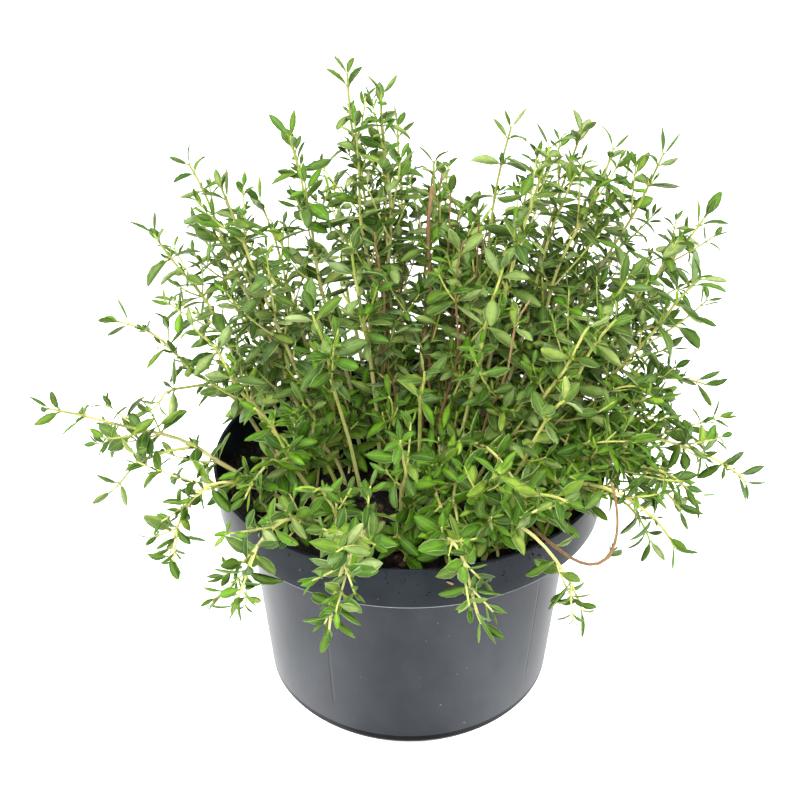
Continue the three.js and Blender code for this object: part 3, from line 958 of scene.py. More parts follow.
# How a stem carries its leaves, for main stems, side shoots and the tufts in the leaf corners
growth = {
    "main": {
        "backs": (0.5, 3.8, 11.0),  # millimetres from the tip to the first pairs
        "step": 9.0, "bare": 20.0,  # from pair to pair after them, and without leaves above the root
        "leaf": 10.2, "youngLeaf": 7.8, "grownBy": 10.0,  # lengths, and how far from the tip
        "width": (0.32, 0.42),  # share of the length, young and grown
        "open": (24.0, 72.0),  # degrees from the stem, at the tip and where grown
        "radius": (0.78, 0.35),  # at the root and at the tip
    },
    "shoot": {
        "backs": (0.4, 3.0, 8.0), "step": 6.6, "bare": 1.5, "leaf": 8.7, "youngLeaf": 5.0,
        "grownBy": 8.5, "width": (0.32, 0.41), "open": (30.0, 70.0), "radius": (0.36, 0.26),
        "size": (8.0, 30.0), "rings": 5, "sides": 5,
    },
    "tuft": {
        "backs": (0.2, 1.5), "step": 2.0, "bare": 0.1, "leaf": 4.8, "youngLeaf": 3.2,
        "grownBy": 3.0, "width": (0.33, 0.38), "open": (20.0, 50.0), "radius": (0.30, 0.24),
        "size": (0.7, 3.2), "rings": 3, "sides": 4,
    },
}
shootChance = 0.50  # of a leaf corner having a side shoot
tuftChance = 0.75  # of the others having a tuft
tuftsFrom = 6.5  # millimetres from the tip

# What a stem is like where its own kind says nothing else
plainKind = {
    "rule": {},  # what differs from the main stem's growth
    "wobble": 1.3,  # millimetres that its axis waves sideways
    "age": (0.42, 95.0, 0.95),  # of its leaves: at the tip, millimetres over which it grows, at the most
    "stemAge": 0.8,
    "stemStart": 0.0,
    "thick": 1.0,
    "sunk": 7.0,  # millimetres below its root
    "leafSize": 1.0,
    "shoots": shootChance,
    "shootsFrom": 13.0,  # millimetres from the tip
    "shootSize": 1.0,
    "shootAge": 0.05,
    "woody": False,
    "cutTop": 0.0,  # millimetres without leaves at the tip
    "leafy": 1.0,  # share of the pairs that a stem with a cut top has kept
    "moreRings": 0,
}
lowTip = 125.0  # stems that end lower have longer, narrower and younger leaves
longLeaf = {"leaf": 10.4, "width": (0.29, 0.36)}
kinds = {
    "upright": {"stemAge": 0.62},
    "right": {"shoots": 0.56, "leafSize": 1.08},
    "centre": {"shoots": 0.6, "leafSize": 1.12, "rule": {"step": 9.4, "bare": 46.0}},
    "low": {"rule": longLeaf, "age": (0.10, 80.0, 0.38), "stemAge": 0.55, "stemStart": 0.1},
    "sideShoot": {"sunk": 0.0, "thick": 0.8, "shootsFrom": 16.0},
    "trailing": {
        "rule": {"leaf": 10.8, "step": 8.4}, "age": (0.02, 90.0, 0.42), "stemAge": 0.5,
        "stemStart": 0.25, "thick": 0.95, "wobble": 0.8, "shoots": 0.8, "shootsFrom": 8.0,
    },
    "cut": {
        "rule": {"radius": (0.85, 0.62)}, "woody": True, "cutTop": 14.0, "leafy": 0.5, "shoots": 0.2,
    },
    "loop": {
        "rule": {"radius": (0.66, 0.42)}, "woody": True, "cutTop": 1.0, "leafy": 0.5, "shoots": 0.1,
        "wobble": 0.3, "moreRings": 26,
    },
    "inner": {"age": (0.40, 80.0, 0.9), "stemAge": 0.72, "shootAge": 0.2, "shoots": 0.4},
    "short": {
        "rule": {
            "backs": (0.5, 3.2, 9.0), "step": 8.0, "bare": 2.0, "leaf": 10.4, "radius": (0.62, 0.34),
        },
        "age": (0.06, 60.0, 0.38), "stemAge": 0.6, "stemStart": 0.1, "thick": 0.75, "sunk": 4.0,
        "shootsFrom": 7.0, "shootSize": 0.6, "shootAge": 0.0,
    },
    "arching": {
        "rule": {
            "backs": (0.5, 3.4, 9.0), "step": 8.6, "bare": 16.0, "leaf": 10.6, "radius": (0.66, 0.38),
        },
        "age": (0.06, 60.0, 0.36), "stemAge": 0.5, "stemStart": 0.22, "thick": 0.95, "sunk": 4.0,
        "shootsFrom": 7.0, "shootSize": 0.5, "shootAge": 0.0, "wobble": 1.0,
    },
    "wood": {
        "woody": True, "cutTop": 0.3, "leafy": 0.6, "shoots": 0.35, "thick": 0.72, "wobble": 2.2,
        "age": (0.4, 60.0, 1.0),
    },
}

# Leaf outlines: where the rings stand along the leaf and their half width, then the ring's points
# as places across, the upper face first, and whether they are on the lower face
leafForms = {
    "broad": {
        "at": (0.0, 0.12, 0.27, 0.50, 0.74, 0.92),
        "half": (0.22, 0.24, 0.68, 1.0, 0.81, 0.36),
        "blunter": (0.0, 0.0, 0.10, 0.0, 0.13, 0.24),  # added to the half width of a blunt leaf
        "across": (1.0, 0.52, 0.0, -0.52, -1.0, 0.0),
        "under": (0.0, 0.0, 0.0, 0.0, 0.0, 1.0),
        "mapSize": 2.0,
    },
    "small": {
        "at": (0.0, 0.26, 0.55, 0.84),
        "half": (0.26, 0.72, 1.0, 0.50),
        "blunter": (0.0, 0.05, 0.0, 0.12),
        "across": (1.0, 0.0, -1.0, 0.0),
        "under": (0.0, 0.0, 0.0, 1.0),
        "mapSize": 1.0,
    },
}
leafThickness = 0.32
smallLeaf = 4.9  # shorter leaves have the small outline

# How leaves differ from one another: spreads of the turns, directions and ages, ranges of the rest
leafVaried = {
    "pairTurn": 0.2,
    "leafTurn": 0.12,
    "open": 10.0,  # degrees
    "forward": 0.10,
    "upward": 0.38,
    "toLight": 0.3,
    "held": 0.45,  # share by which a sinking leaf is held up
    "length": (0.84, 1.14),
    "width": (0.78, 1.2),
    "drawn": {
        "blunt": (-0.6, 0.75),
        "bend": (-0.2, 1.15),
        "fold": (0.2, 0.75),
        "roll": (0.45, 0.95),
        "twist": (-0.6, 0.6),
    },
    "grownBend": 0.25,
    "youngFold": 0.15,
    "age": 0.13,
}


# Leaves on a circle's arc: along it x = L sin(bt)/b and z = -L(1 - cos(bt))/b with bend b; across it
# the height is w(f|c| - r|c|^3) with half width w, fold f and roll r; the lower face is lower by
# the thickness. The cross-section turns by the twist towards the tip
def leafLoft(form, root, forward, upward, shape):
    at, half, across, under = (np.array(form[key]) for key in ("at", "half", "across", "under"))
    names = "length", "bend", "twist", "fold", "roll"
    length, bend, twist, fold, roll = (shape[name][:, None] for name in names)
    count, rings, sides = len(root), len(at), len(across)
    side = np.cross(upward, forward)
    bend = bend + 1e-4
    t = np.concatenate([[-0.01], at, [1.0]])[None]
    turn = bend * t
    x = (length * np.sin(turn) / bend)[..., None]
    z = (-length * (1 - np.cos(turn)) / bend)[..., None]
    centre = root[:, None] + forward[:, None] * x + upward[:, None] * z
    normal = forward[:, None] * np.sin(turn)[..., None] + upward[:, None] * np.cos(turn)[..., None]
    spin = (twist * t)[..., None]
    sideways = side[:, None] * np.cos(spin) + normal * np.sin(spin)
    normal = normal * np.cos(spin) - side[:, None] * np.sin(spin)
    half = half + shape["blunt"][:, None] * np.array(form["blunter"])
    width = shape["width"][:, None] / 2 * half  # leaf by ring
    reach = np.abs(across)
    height = width[..., None] * (fold * reach - roll * reach**3)[:, None]
    thick = leafThickness * (0.55 + 0.45 * np.minimum(half, 1)) * np.minimum(length / 6, 1)
    height = height - under * thick[..., None]
    ring = centre[:, 1:-1, None] + sideways[:, 1:-1, None] * (width[..., None] * across)[..., None]
    ring = ring + normal[:, 1:-1, None] * height[..., None]
    points = np.concatenate([centre[:, :1], ring.reshape(count, rings * sides, 3), centre[:, -1:]], 1)
    values = {
        "growthAge": shape["age"][:, None],
        "growthTone": shape["tone"][:, None],
        "leafAcross": np.r_[0.0, np.tile(across, rings), 0.0][None],
        "leafAlong": np.r_[0.0, np.repeat(at, sides), 1.0][None],
        "leafUnder": np.r_[0.0, np.tile(under, rings), 0.0][None],
    }
    gaps = np.abs(np.diff(np.append(across, across[0]))) + 0.2
    roundMap = np.concatenate([[0], np.cumsum(gaps) / gaps.sum()])
    alongMap = np.concatenate([[0.0], 0.04 + 0.92 * at, [1.0]])
    return loftOf(points, sides, 0, form["mapSize"], values, alongMap, roundMap)


# Points evenly spaced along polylines: linear between the points before and after each place,
# where places are shares of the whole length
def evenly(points, count):
    rows, size = points.shape[:2]
    steps = np.linalg.norm(np.diff(points, axis=1), axis=-1)
    run = np.concatenate([np.zeros((rows, 1)), np.cumsum(steps, 1)], 1)
    length = run[:, -1]
    key = (run / length[:, None] + 2 * np.arange(rows)[:, None]).ravel()
    wanted = np.linspace(0, 1, count) + 2 * np.arange(rows)[:, None]
    found = np.searchsorted(key, wanted.ravel(), side="right").reshape(rows, count) - 1
    first = (np.arange(rows) * size)[:, None]
    found = np.clip(found, first, first + size - 2)
    share = ((wanted - key[found]) / (key[found + 1] - key[found]))[..., None]
    flat = points.reshape(-1, 3)
    return flat[found] * (1 - share) + flat[found + 1] * share, length


# Stem axes from one or more joined cubic curves: (1-t)^3 A + 3t(1-t)^2 B + 3t^2(1-t) C + t^3 D,
# moved sideways by waves that fade at both ends
def makeAxes(controls, turn, draw, wobble=0.0, samples=41):
    t = np.linspace(0, 1, 64)[None, 1:, None]
    curves = [controls[:, :1]]
    for start in range(0, controls.shape[1] - 1, 3):
        a, b, c, d = (controls[:, start + i, None] for i in range(4))
        curves.append((1 - t) ** 3 * a + 3 * t * (1 - t) ** 2 * b + 3 * t**2 * (1 - t) * c + t**3 * d)
    points, length = evenly(np.concatenate(curves, 1), samples)
    span = controls[:, -1] - controls[:, 0]
    level = unit(np.stack([-span[:, 1], span[:, 0], 1e-6 + 0 * span[:, 0]], -1))
    if wobble:
        s = np.linspace(0, 1, samples)
        fade = np.sin(np.pi * s) ** 0.7
        for way in (level, unit(np.cross(level, span))):
            waves = draw.uniform(0.7, 2.0, (len(controls), 1))
            phase = draw.uniform(0, fullTurn, (len(controls), 1))
            move = wobble * fade * np.sin(fullTurn * waves * s + phase)
            points = points + way[:, None] * move[..., None]
        points, length = evenly(points, samples)
    direction = unit(np.gradient(points, axis=1))
    return {"points": points, "direction": direction, "length": length, "level": level, "turn": turn}


# Place and direction on axes at shares of their length, linear between their samples
def placeOn(axes, item, share):
    count = axes["points"].shape[1]
    f = np.clip(share, 0, 1) * (count - 1)
    low = np.minimum(f.astype(int), count - 2)
    f = (f - low)[:, None]
    points, ways = axes["points"], axes["direction"]
    place = points[item, low] * (1 - f) + points[item, low + 1] * f
    return place, unit(ways[item, low] * (1 - f) + ways[item, low + 1] * f)


# The direction away from an axis at a turn: the level side made square to the axis, then turned
def outwards(level, along, turn):
    side = unit(level - along * (level * along).sum(-1, keepdims=True))
    other = np.cross(along, side)
    return side * np.cos(turn)[..., None] + other * np.sin(turn)[..., None]


# Leaf pairs: distances from the tip are the first ones and then equal steps, each a little varied,
# as long as they leave the bare length
def pairPlaces(axes, rule, draw, vigour):
    first = np.array(rule["backs"])
    back = np.concatenate([first, first[-1] + rule["step"] * np.arange(1, 22)])[None] * vigour[:, None]
    back = back * (1 + draw.uniform(-0.07, 0.07, back.shape))
    item, index = np.nonzero(back < (axes["length"] - rule["bare"])[:, None])
    back = back[item, index]
    place, along = placeOn(axes, item, 1 - back / axes["length"][item])
    return {"item": item, "index": index, "back": back, "place": place, "along": along}


# Leaves of every pair, two to a pair, a quarter turn from pair to pair, opened from the stem more
# with age, leaning to the light, each with its own size, bend, fold, roll and twist
def leavesOf(axes, pairs, rule, draw, age, size, radius):
    vary = leafVaried
    count = len(pairs["item"])
    twice = np.repeat(np.arange(count), 2)
    facing = np.tile([0.0, np.pi], count)
    item, back, along = (pairs[key][twice] for key in ("item", "back", "along"))
    spin = np.repeat(draw.uniform(-vary["pairTurn"], vary["pairTurn"], count), 2)
    turn = axes["turn"][item] + np.pi / 4 + np.pi / 2 * pairs["index"][twice] + spin + facing
    count = len(turn)
    turn = turn + draw.uniform(-vary["leafTurn"], vary["leafTurn"], count)
    outward = outwards(axes["level"][item], along, turn)
    grown = smoothRise(back, 0, rule["grownBy"])
    low, high = rule["open"]
    opened = np.radians(low + (high - low) * grown + draw.normal(0, vary["open"], count))
    forward = along * np.cos(opened)[:, None] + outward * np.sin(opened)[:, None]
    sinks = np.clip(-forward[:, 2:], 0, 1)
    held = up * (sinks * vary["held"])
    forward = unit(forward + held + draw.normal(0, vary["forward"], forward.shape))
    upward = along - forward * (along * forward).sum(-1, keepdims=True)
    upward = unit(upward) + up * vary["toLight"] + draw.normal(0, vary["upward"], forward.shape)
    upward = unit(upward - forward * (upward * forward).sum(-1, keepdims=True))
    spread = draw.uniform(*vary["length"], count)
    length = (rule["youngLeaf"] + (rule["leaf"] - rule["youngLeaf"]) * grown) * spread * size[item]
    narrow, wide = rule["width"]
    width = length * (narrow + (wide - narrow) * grown) * draw.uniform(*vary["width"], count)
    shape = {key: draw.uniform(*ends, count) for key, ends in vary["drawn"].items()}
    shape.update(length=length, width=width)
    shape["bend"] += vary["grownBend"] * grown
    shape["fold"] += vary["youngFold"] * (1 - grown)
    shape["age"] = np.clip(age(item, back) + draw.normal(0, vary["age"], count), 0, 1)
    shape["tone"] = draw.uniform(0, 1, count)
    root = pairs["place"][twice] + outward * radius * 0.6
    made = {"root": root, "forward": forward, "upward": upward, "outward": outward, "pair": twice}
    keep = staysClear(root, forward, upward, shape)
    made = {key: value[keep] for key, value in made.items()}
    made["shape"] = {key: value[keep] for key, value in shape.items()}
    return made


# Places as the camera sees them: across and up in the plane at the plant's distance, and their depth
def asSeen(points, distance=480):
    pitch = math.radians(studio["cameraPitch"])
    away = points - np.array(studio["cameraPlace"]) / mm
    ahead = away[..., 1] * math.cos(pitch) - away[..., 2] * math.sin(pitch)
    above = away[..., 1] * math.sin(pitch) + away[..., 2] * math.cos(pitch)
    return np.stack([away[..., 0], above], -1) / ahead[..., None] * distance, ahead


# Whether leaves hide the loop stem's bend: they are before it and seen nearer to it than a distance
def hidesLoop(spots):
    first, last = loopView["shown"]
    bend = makeAxes(np.array([woodyLoop], float), np.zeros(1), None)["points"][0, first:last]
    seen, depth = asSeen(spots)
    bendSeen, bendDepth = asSeen(bend)
    gap = np.linalg.norm(seen[:, :, None] - bendSeen, axis=-1)
    return ((gap < loopView["apart"]) & (depth[..., None] < bendDepth)).any((0, 2))


# Whether leaves keep clear of the collar, the soil and the loop stem, tested at three places along
# their arcs: below the lip all three are within the collar or all are outside it
def staysClear(root, forward, upward, shape):
    bend = shape["bend"][:, None] + 1e-4
    length = shape["length"][:, None]
    spots = []
    for t in (0, 0.5, 1.0):
        ahead = forward * length * np.sin(bend * t) / bend
        spots.append(root + ahead - upward * length * (1 - np.cos(bend * t)) / bend)
    spots = np.stack(spots)
    radius = np.hypot(spots[..., 0], spots[..., 1])
    low = spots[..., 2] < potForm["lipAt"] + 1.0
    inside = (radius < potForm["clearInside"]) | ~low
    outside = (radius > potForm["clearOutside"]) | ~low
    sunk = (spots[..., 2] < fan["soil"] + 0.6) & (radius < potForm["clearOutside"])
    return (inside.all(0) | outside.all(0)) & ~sunk[1:].any(0) & ~hidesLoop(spots)


# The chosen ones of some leaves as a batch of lofts
def leafBatch(form, leaves, chosen):
    shape = {key: value[chosen] for key, value in leaves["shape"].items()}
    places = (leaves[key][chosen] for key in ("root", "forward", "upward"))
    return leafLoft(leafForms[form], *places, shape)


# Whole stems with leaves, side shoots and tufts, as batches of lofts
def growStems(controls, turn, seed, kind):
    kind = {**plainKind, **kind}
    rule = {**growth["main"], **kind["rule"]}
    draw = np.random.default_rng(seed)
    count = len(controls)
    axes = makeAxes(controls, turn, draw, kind["wobble"])
    pairs = pairPlaces(axes, rule, draw, draw.uniform(0.88, 1.12, count))
    if kind["cutTop"]:
        kept = draw.uniform(0, 1, len(pairs["back"])) < kind["leafy"]
        keep = (pairs["back"] > kind["cutTop"]) & kept
        pairs = {key: value[keep] for key, value in pairs.items()}
    size = draw.uniform(0.92, 1.08, count) * kind["leafSize"]
    young, span, old = kind["age"]

    def age(item, back):
        return young + (old - young) * np.clip(back / span, 0, 1) ** 0.75

    leaves = leavesOf(axes, pairs, rule, draw, age, size, rule["radius"][1])
    lofts = [leafBatch("broad", leaves, slice(None)), *stemTubes(axes, pairs, rule, draw, kind)]
    # Side shoots leave a leaf's corner between the stem and the leaf, then rise to the light
    back = pairs["back"][leaves["pair"]]
    chance = draw.uniform(0, 1, len(back))
    isShoot = (back > kind["shootsFrom"]) & (chance < kind["shoots"])
    isTuft = (back > tuftsFrom) & ~isShoot & (chance < shootChance + (1 - shootChance) * tuftChance)
    lofts += cornerGrowth(pairs, leaves, isShoot, "shoot", draw, kind, back)
    lofts += cornerGrowth(pairs, leaves, isTuft, "tuft", draw, kind, back)
    return lofts, axes


# Tubes of whole stems
stemForm = {
    "sides": 8,
    "square": 0.07,  # how much the corners stand out
    "knot": 0.22,  # how much thicker they are at the leaf pairs
    "taper": 1.2,
    "oldAt": 105.0,  # millimetres from the tip
    "lastKnot": 0.985,  # pairs past this share of the length make no ring
    "mapSize": 3.0,
}


# Stem tubes with a ring at each leaf pair and one between: the radius falls from root to tip by a
# power of the way left, and is a little larger at the pairs
def stemTubes(axes, pairs, rule, draw, kind):
    lofts = []
    form = stemForm
    for i, length in enumerate(axes["length"]):
        knots = np.sort(1 - pairs["back"][pairs["item"] == i] / length)
        knots = knots[knots < form["lastKnot"]]
        between = np.convolve(np.concatenate([[0.0], knots, [1.0]]), [0.5, 0.5], "valid")
        more = np.linspace(0.03, 0.97, kind["moreRings"])
        shares = np.concatenate([[0.0, 0.06, 1.0], knots, between, more])
        isKnot = np.concatenate([np.zeros(3), np.ones(len(knots)), np.zeros(len(between) + len(more))])
        order = np.argsort(shares)
        shares, isKnot = shares[order], isKnot[order]
        place, along = placeOn(axes, np.full(len(shares), i), shares)
        first, last = rule["radius"]
        radius = last + (first - last) * (1 - shares) ** form["taper"]
        radius = radius * (1 + form["knot"] * isKnot) * kind["thick"]
        # The lowest ring is sunk below the root
        place = np.concatenate([place[:1] - along[:1] * kind["sunk"], place])
        along = np.concatenate([along[:1], along])
        radius = np.concatenate([radius[:1], radius])
        fromTip = np.concatenate([[1.0], 1 - shares]) * length
        oldness = np.clip(fromTip / form["oldAt"], 0, 1) * kind["stemAge"] + kind["stemStart"]
        values = {
            "growthAge": np.clip(oldness, 0, 1)[None],
            "growthTone": float(draw.uniform(0, 1)),
            "leafAlong": (fromTip / 10)[None],
            "leafUnder": np.concatenate([[0.0], isKnot])[None],
        }
        slot = 2 if kind["woody"] else 1
        tube = place[None], along[None], axes["level"][i : i + 1], radius[None]
        lofts.append(tubeLoft(*tube, form["sides"], form["square"], values, slot, form["mapSize"]))
    return lofts


# Growth in the leaf corners: ranges of its lean from the stem in degrees and of its rise to the light
cornerForm = {
    "lean": (24.0, 50.0),
    "rise": (0.15, 0.7),
    "sway": 0.12,
    "shorter": 1.3,  # power that makes short shoots commoner than long ones
    "youngRoom": (4.0, 34.0, 0.12),  # shoots grow between these distances from the tip, from this share
    "tufts": (3.5, 0.35, 0.7),  # on shoots: millimetres from their tips, how likely, and their size
}


# Shoots and tufts from chosen leaf corners, along curves that start between stem and leaf
def cornerGrowth(pairs, leaves, chosen, level, draw, kind, back):
    picked = np.nonzero(chosen)[0]
    count = len(picked)
    if not count:
        return []
    rule, form = growth[level], cornerForm
    isShoot = level == "shoot"
    pair = leaves["pair"][picked]
    root, along, outward = pairs["place"][pair], pairs["along"][pair], leaves["outward"][picked]
    low, high = rule["size"]
    start, full, least = form["youngRoom"]
    room = np.clip((back[picked] - start) / (full - start), least, 1) if isShoot else np.ones(count)
    length = low + (high - low) * draw.uniform(0, 1, count) ** form["shorter"] * room
    length = length * kind["shootSize"]
    lean = np.radians(draw.uniform(*form["lean"], count))[:, None]
    way = unit(along * np.cos(lean) + outward * np.sin(lean))
    rise = up * draw.uniform(*form["rise"], (count, 1))
    later = unit(way + rise + along * 0.3 + draw.normal(0, form["sway"], way.shape))
    half = unit(way + later)
    third = (length / 3)[:, None]
    bend = root + way * third
    controls = np.stack([root, bend, bend + half * third, root + (way + half + later) * third], 1)
    axes = makeAxes(controls, draw.uniform(0, fullTurn, count), draw, 0.0, 9)
    inner = pairPlaces(axes, rule, draw, draw.uniform(0.85, 1.15, count))
    size = draw.uniform(0.85, 1.12, count) * kind["leafSize"]
    grownAge = np.clip(back[picked] / 120, 0, 1) * 0.5

    def age(item, behind):
        return kind["shootAge"] + grownAge[item] + 0.5 * np.clip(behind / 30, 0, 1)

    first, last = rule["radius"]
    made = leavesOf(axes, inner, rule, draw, age, size, last)
    small = made["shape"]["length"] < smallLeaf
    lofts = [leafBatch("broad", made, ~small), leafBatch("small", made, small)]
    rings = rule["rings"]
    shares = np.linspace(0, 1, rings)
    place, direction = placeOn(axes, np.repeat(np.arange(count), rings), np.tile(shares, count))
    width = np.broadcast_to(first + (last - first) * shares, (count, rings))
    width = width * (0.85 + 0.15 * kind["thick"])
    values = {
        "growthAge": np.clip(length[:, None] * (1 - shares) / 60 + kind["stemStart"], 0, 1),
        "growthTone": draw.uniform(0, 1, (count, 1)),
        "leafAlong": 0.0,
        "leafUnder": 0.0,
    }
    place, direction = place.reshape(count, rings, 3), direction.reshape(count, rings, 3)
    lofts.append(tubeLoft(place, direction, axes["level"], width, rule["sides"], 0.0, values))
    if isShoot:
        # Tiny tufts in the corners of the shoots' own leaves
        start, chance, size = form["tufts"]
        behind = inner["back"][made["pair"]]
        again = (behind > start) & (draw.uniform(0, 1, len(behind)) < chance)
        lofts += cornerGrowth(inner, made, again, "tuft", draw, {**kind, "shootSize": size}, behind)
    return lofts


# A curve from root to end whose two middle points, at thirds of the way, are lifted
def liftedCurve(root, end, lift):
    return np.stack([root, root + (end - root) / 3 + lift, root + (end - root) * 2 / 3 + lift, end], -2)


# An upright stem's curve: it leaves the soil on the line from the focus to its tip, inside the
# root circle, and is lifted by 4/3 of the arch
def uprightControls(tips):
    tips = np.array(tips, float)
    end = tips[:, :3]
    reach = np.maximum(np.hypot(end[:, 0], end[:, 1]), 1e-6)
    share = (fan["soil"] - fan["focus"]) / (end[:, 2] - fan["focus"])
    share = np.minimum(share, fan["rootCircle"] / reach)
    root = np.stack([end[:, 0] * share, end[:, 1] * share, np.full(len(end), fan["soil"])], -1)
    return liftedCurve(root, end, up * tips[:, 3:] * 4 / 3)


growthMaterials = [thymeLeaf, greenStem, brownBark]
growthPieces = []


def growPiece(name, lofts, nodes=()):
    growthPieces.append(addPiece(name, lofts, growthMaterials, nodes))


# A face of n corners is n - 2 triangles
def countTriangles():
    return sum(len(piece.data.loops) - 2 * len(piece.data.polygons) for piece in growthPieces)


def makeStems():
    stems = []
    for side, rows in stemTable.items():
        for number, row in enumerate(rows, 1):
            low = kinds["low"] if row[2] < lowTip else {}
            kind = {**kinds["upright"], **kinds.get(side, {}), **low}
            stems.append((f"{side}_stem_{number}", uprightControls([row]), kind))
    for number, points in enumerate(trailingTable, 1):
        stems.append((f"trailing_stem_{number}", np.array([points], float), kinds["trailing"]))
    stems.append(("woody_cut_stem", uprightControls([woodyCut]), kinds["cut"]))
    stems.append(("woody_loop_stem", np.array([woodyLoop], float), kinds["loop"]))
    for index, (name, controls, kind) in enumerate(stems):
        turn = np.radians([goldenAngle * index])
        lofts, axes = growStems(controls, turn, 100 + index, kind)
        if name in shootTable:
            share, tip, arch = shootTable[name]
            root = placeOn(axes, np.zeros(1, int), np.array([share]))[0]
            shoot = liftedCurve(root, np.array([tip], float), up * arch * 4 / 3)
            lofts += growStems(shoot, turn + 1.0, 400 + index, kinds["sideShoot"])[0]
        growPiece("leafy_" + name, lofts, [name])


makeStems()
print("main stems are grown:", countTriangles(), "triangles")

# Inner stems between the main ones
innerForm = {
    "count": 27,
    "groups": 5,
    "middle": (24, 0.12),  # half width of the middle, and how likely a tip there is
    "lowLeft": (-30, 155, 0.25),  # how likely a tip is that is further left and lower than these
    "right": (-10, 50, 1.3),  # x from and to, and how much likelier a tip on the right is, less one
    "neighbours": 4,
    "reach": (0.72, 0.99),  # share of the way from the focus to a tip between two table tips
}


# Inner stems end between two neighbouring tips of the table, nearer to the focus
def innerTips(draw):
    form = innerForm
    rows = np.array([row for rows in stemTable.values() for row in rows], float)
    start, end, more = form["right"]
    weight = 1 + more * smoothRise(rows[:, 0], start, end)
    left, low, likely = form["lowLeft"]
    weight = np.where((rows[:, 0] < left) & (rows[:, 2] < low), likely, weight)
    halfWidth, likely = form["middle"]
    weight = np.where(np.abs(rows[:, 0]) < halfWidth, likely * weight, weight)
    count = form["count"]
    first = draw.choice(len(rows), count, p=weight / weight.sum())
    apart = np.linalg.norm(rows[first][:, None, :3] - rows[None, :, :3], axis=-1)
    near = np.argsort(apart, axis=1)[:, 1 : form["neighbours"] + 1]
    second = near[np.arange(count), draw.integers(0, form["neighbours"], count)]
    share = draw.uniform(0.25, 0.75, (count, 1))
    tips = rows[first] * (1 - share) + rows[second] * share
    focus = up * fan["focus"]
    tips[:, :3] = focus + (tips[:, :3] - focus) * draw.uniform(*form["reach"], (count, 1))
    return tips


# Grows curves as several pieces, parted by the turn of the given points round the middle
def growGroups(name, controls, points, groups, draw, seed, kind):
    order = np.argsort(np.arctan2(points[:, 1], points[:, 0]))
    for number, group in enumerate(np.array_split(controls[order], groups), 1):
        turn = draw.uniform(0, fullTurn, len(group))
        growPiece(f"{name}_{number}", growStems(group, turn, seed + number, kinds[kind])[0])


# Upright curves to the inner tips
def makeInnerStems():
    draw = np.random.default_rng(31)
    tips = innerTips(draw)
    growGroups("inner_stems", uprightControls(tips), tips, innerForm["groups"], draw, 500, "inner")


# Short shoots: many drawn ones all over the soil, and further ones at chosen places
shortForm = {
    "count": 60,
    "groups": 5,
    "frontShare": 0.6,
    "radius": (8.0, 55.0),
    "height": (14.0, 38.0),
    "higher": 12.0,  # millimetres by which they are higher behind the middle
    "clearings": [(-50.0, 0.0, 15.0, 20.0), (-13.0, -28.0, 14.0, 20.0)],  # middles and half sizes
    "clearingShare": 0.08,
    "more": [  # root x, y, height and the tip's shift x, y
        (-2, -49, 15, -3, -7), (8, -46, 20, 2, -13), (17, -41, 26, 3, -13), (27, -45, 19, 4, -11),
        (-22, -47, 13, -4, -7), (36, -38, 22, 7, -10), (44, -30, 26, 12, -6), (50, -14, 30, 14, -3),
        (-26, 9, 26, -4, -6), (-19, 2, 24, -3, -7), (-14, 12, 30, -2, -7), (-8, 3, 24, 1, -8),
        (-2, 9, 30, 3, -7), (6, 0, 25, 4, -7), (33, -42, 24, 5, -12), (40, -36, 28, 9, -9),
        (48, -24, 30, 12, -6), (22, -47, 22, 2, -12), (50, -10, 32, 30, -6), (52, 0, 36, 30, -4),
        (-20, 30, 42, -4, 2), (-8, 35, 44, 0, 2), (4, 30, 44, 2, 2), (14, 22, 40, 4, 0),
        (-30, 22, 38, -6, 0), (24, 30, 42, 5, 2), (-2, 20, 36, 0, -4), (50, -2, 28, 24, -8),
        (44, -28, 20, 24, -12), (52, -14, 40, 26, -4), (38, -24, 34, 30, -10), (48, -32, 14, 7, -5),
        (41, -40, 15, 4, -6), (48, -20, 22, 26, -12), (46, -24, 30, 24, -10), (52, -6, 20, 30, -9),
        (46, -10, 44, 24, -8),
    ],
}


# Curves that rise from the soil and lean outwards, fewer and lower in the clearings
def shortControls(draw):
    form = shortForm
    count = form["count"]
    front = round(count * form["frontShare"])
    radius = crowded(draw, *form["radius"], count, 0.62)
    turn = np.concatenate([draw.uniform(-np.pi, 0, front), draw.uniform(0, np.pi, count - front)])
    x, y = radius * np.cos(turn), radius * np.sin(turn)
    root = onSoil(x, y)
    height = crowded(draw, *form["height"], count, 1.2)
    height = height + form["higher"] * smoothRise(-radius, -44, -24) * smoothRise(y, -20, -4)
    lean = draw.uniform(0.15, 0.75, count) * (radius / 58)
    spread = around(1.0, turn, 0.0) * (height * lean)[:, None]
    spread = spread + draw.normal(0, 2.5, (count, 3)) * (1, 1, 0)
    clearing = np.zeros(count, bool)
    for middleX, middleY, halfX, halfY in form["clearings"]:
        clearing |= ((x - middleX) / halfX) ** 2 + ((y - middleY) / halfY) ** 2 < 1
    kept = ~clearing | (draw.uniform(0, 1, count) < form["clearingShare"])
    rise = up * (height * np.where(clearing, 0.6, 1.0))[:, None]
    bulge = rise * 0.22
    bends = root + rise * 0.42 + spread * 0.05 + bulge, root + rise * 0.75 + spread * 0.55 + bulge
    drawn = np.stack([root, *bends, root + rise + spread], 1)[kept]
    x, y, height, shiftX, shiftY = np.array(form["more"], float).T
    root, rise = onSoil(x, y), up * height[:, None]
    shift = np.stack([shiftX, shiftY, 0 * x], -1)
    chosen = np.stack([root, root + rise * 0.6, root + rise + shift * 0.5, root + rise + shift], 1)
    return np.concatenate([drawn, chosen])


def makeShortShoots():
    draw = np.random.default_rng(32)
    controls = shortControls(draw)
    growGroups("short_shoots", controls, controls[:, 0], shortForm["groups"], draw, 600, "short")


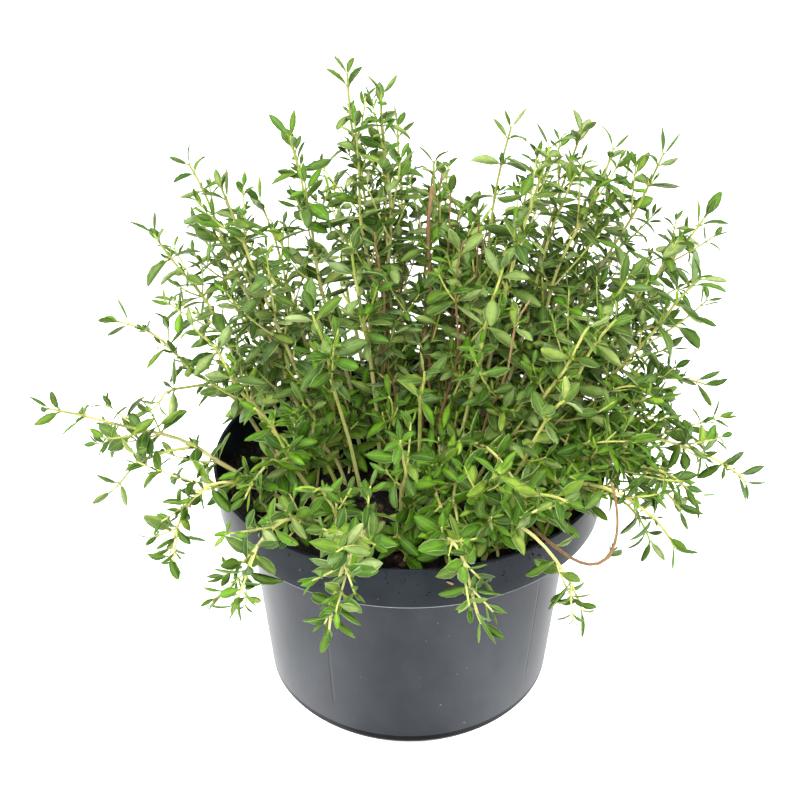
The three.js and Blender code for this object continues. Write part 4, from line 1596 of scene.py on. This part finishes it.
# Arching shoots leave the soil in the front half, rise and bend over towards the rim
archForm = {
    "turns": ((-160.0, -136.0, 2), (-84.0, -12.0, 7)),  # degrees from and to, and how many
    "varied": 6.0,  # degrees
    "root": (12.0, 38.0),
    "tip": (54.0, 66.0),
    "tipHeight": (9.0, 24.0),  # millimetres above the soil
    "peak": (14.0, 34.0),
    "bends": (0.08, 0.62),  # shares of the way from root to tip where the peak lifts the curve
    "side": 26.0,  # degrees by which the tip is turned from the root
}


# Curves whose middle points are lifted by a peak above the line from root to tip
def makeArchingShoots():
    form = archForm
    draw = np.random.default_rng(34)
    degrees = np.concatenate([np.linspace(*turns) for turns in form["turns"]])
    count = len(degrees)
    degrees = degrees + draw.uniform(-form["varied"], form["varied"], count)
    turn = np.radians(degrees)
    end = np.radians(degrees + draw.uniform(-form["side"], form["side"], count))
    near, far = draw.uniform(*form["root"], count), draw.uniform(*form["tip"], count)
    root = onSoil(near * np.cos(turn), near * np.sin(turn))
    tip = around(far, end, fan["soil"] + draw.uniform(*form["tipHeight"], count))
    peak = up * draw.uniform(*form["peak"], count)[:, None]
    bends = (root + (tip - root) * share + peak for share in form["bends"])
    controls = np.stack([root, *bends, tip], 1)
    turn = draw.uniform(0, fullTurn, count)
    growPiece("arching_shoots", growStems(controls, turn, 710, kinds["arching"])[0])


# Bare wood: most of it stands behind the middle
woodForm = {
    "count": 15,
    "height": (50.0, 100.0),
    "reach": (9.0, 51.0),
    "turn": (-40.0, 220.0),
    "arch": (-4.0, 6.0),
}


# Upright curves to tips on a ring round the middle
def makeBareWood():
    form = woodForm
    draw = np.random.default_rng(33)
    count = form["count"]
    turn = np.radians(draw.uniform(*form["turn"], count))
    reach = draw.uniform(*form["reach"], count)
    tip = around(reach, turn, fan["soil"] + draw.uniform(*form["height"], count))
    tips = np.column_stack([tip, draw.uniform(*form["arch"], count)])
    turn = draw.uniform(0, 6.28, count)
    growPiece("bare_wood", growStems(uprightControls(tips), turn, 700, kinds["wood"])[0])


makeInnerStems()
makeShortShoots()
makeArchingShoots()
makeBareWood()
print("inner growth is made:", countTriangles(), "triangles")
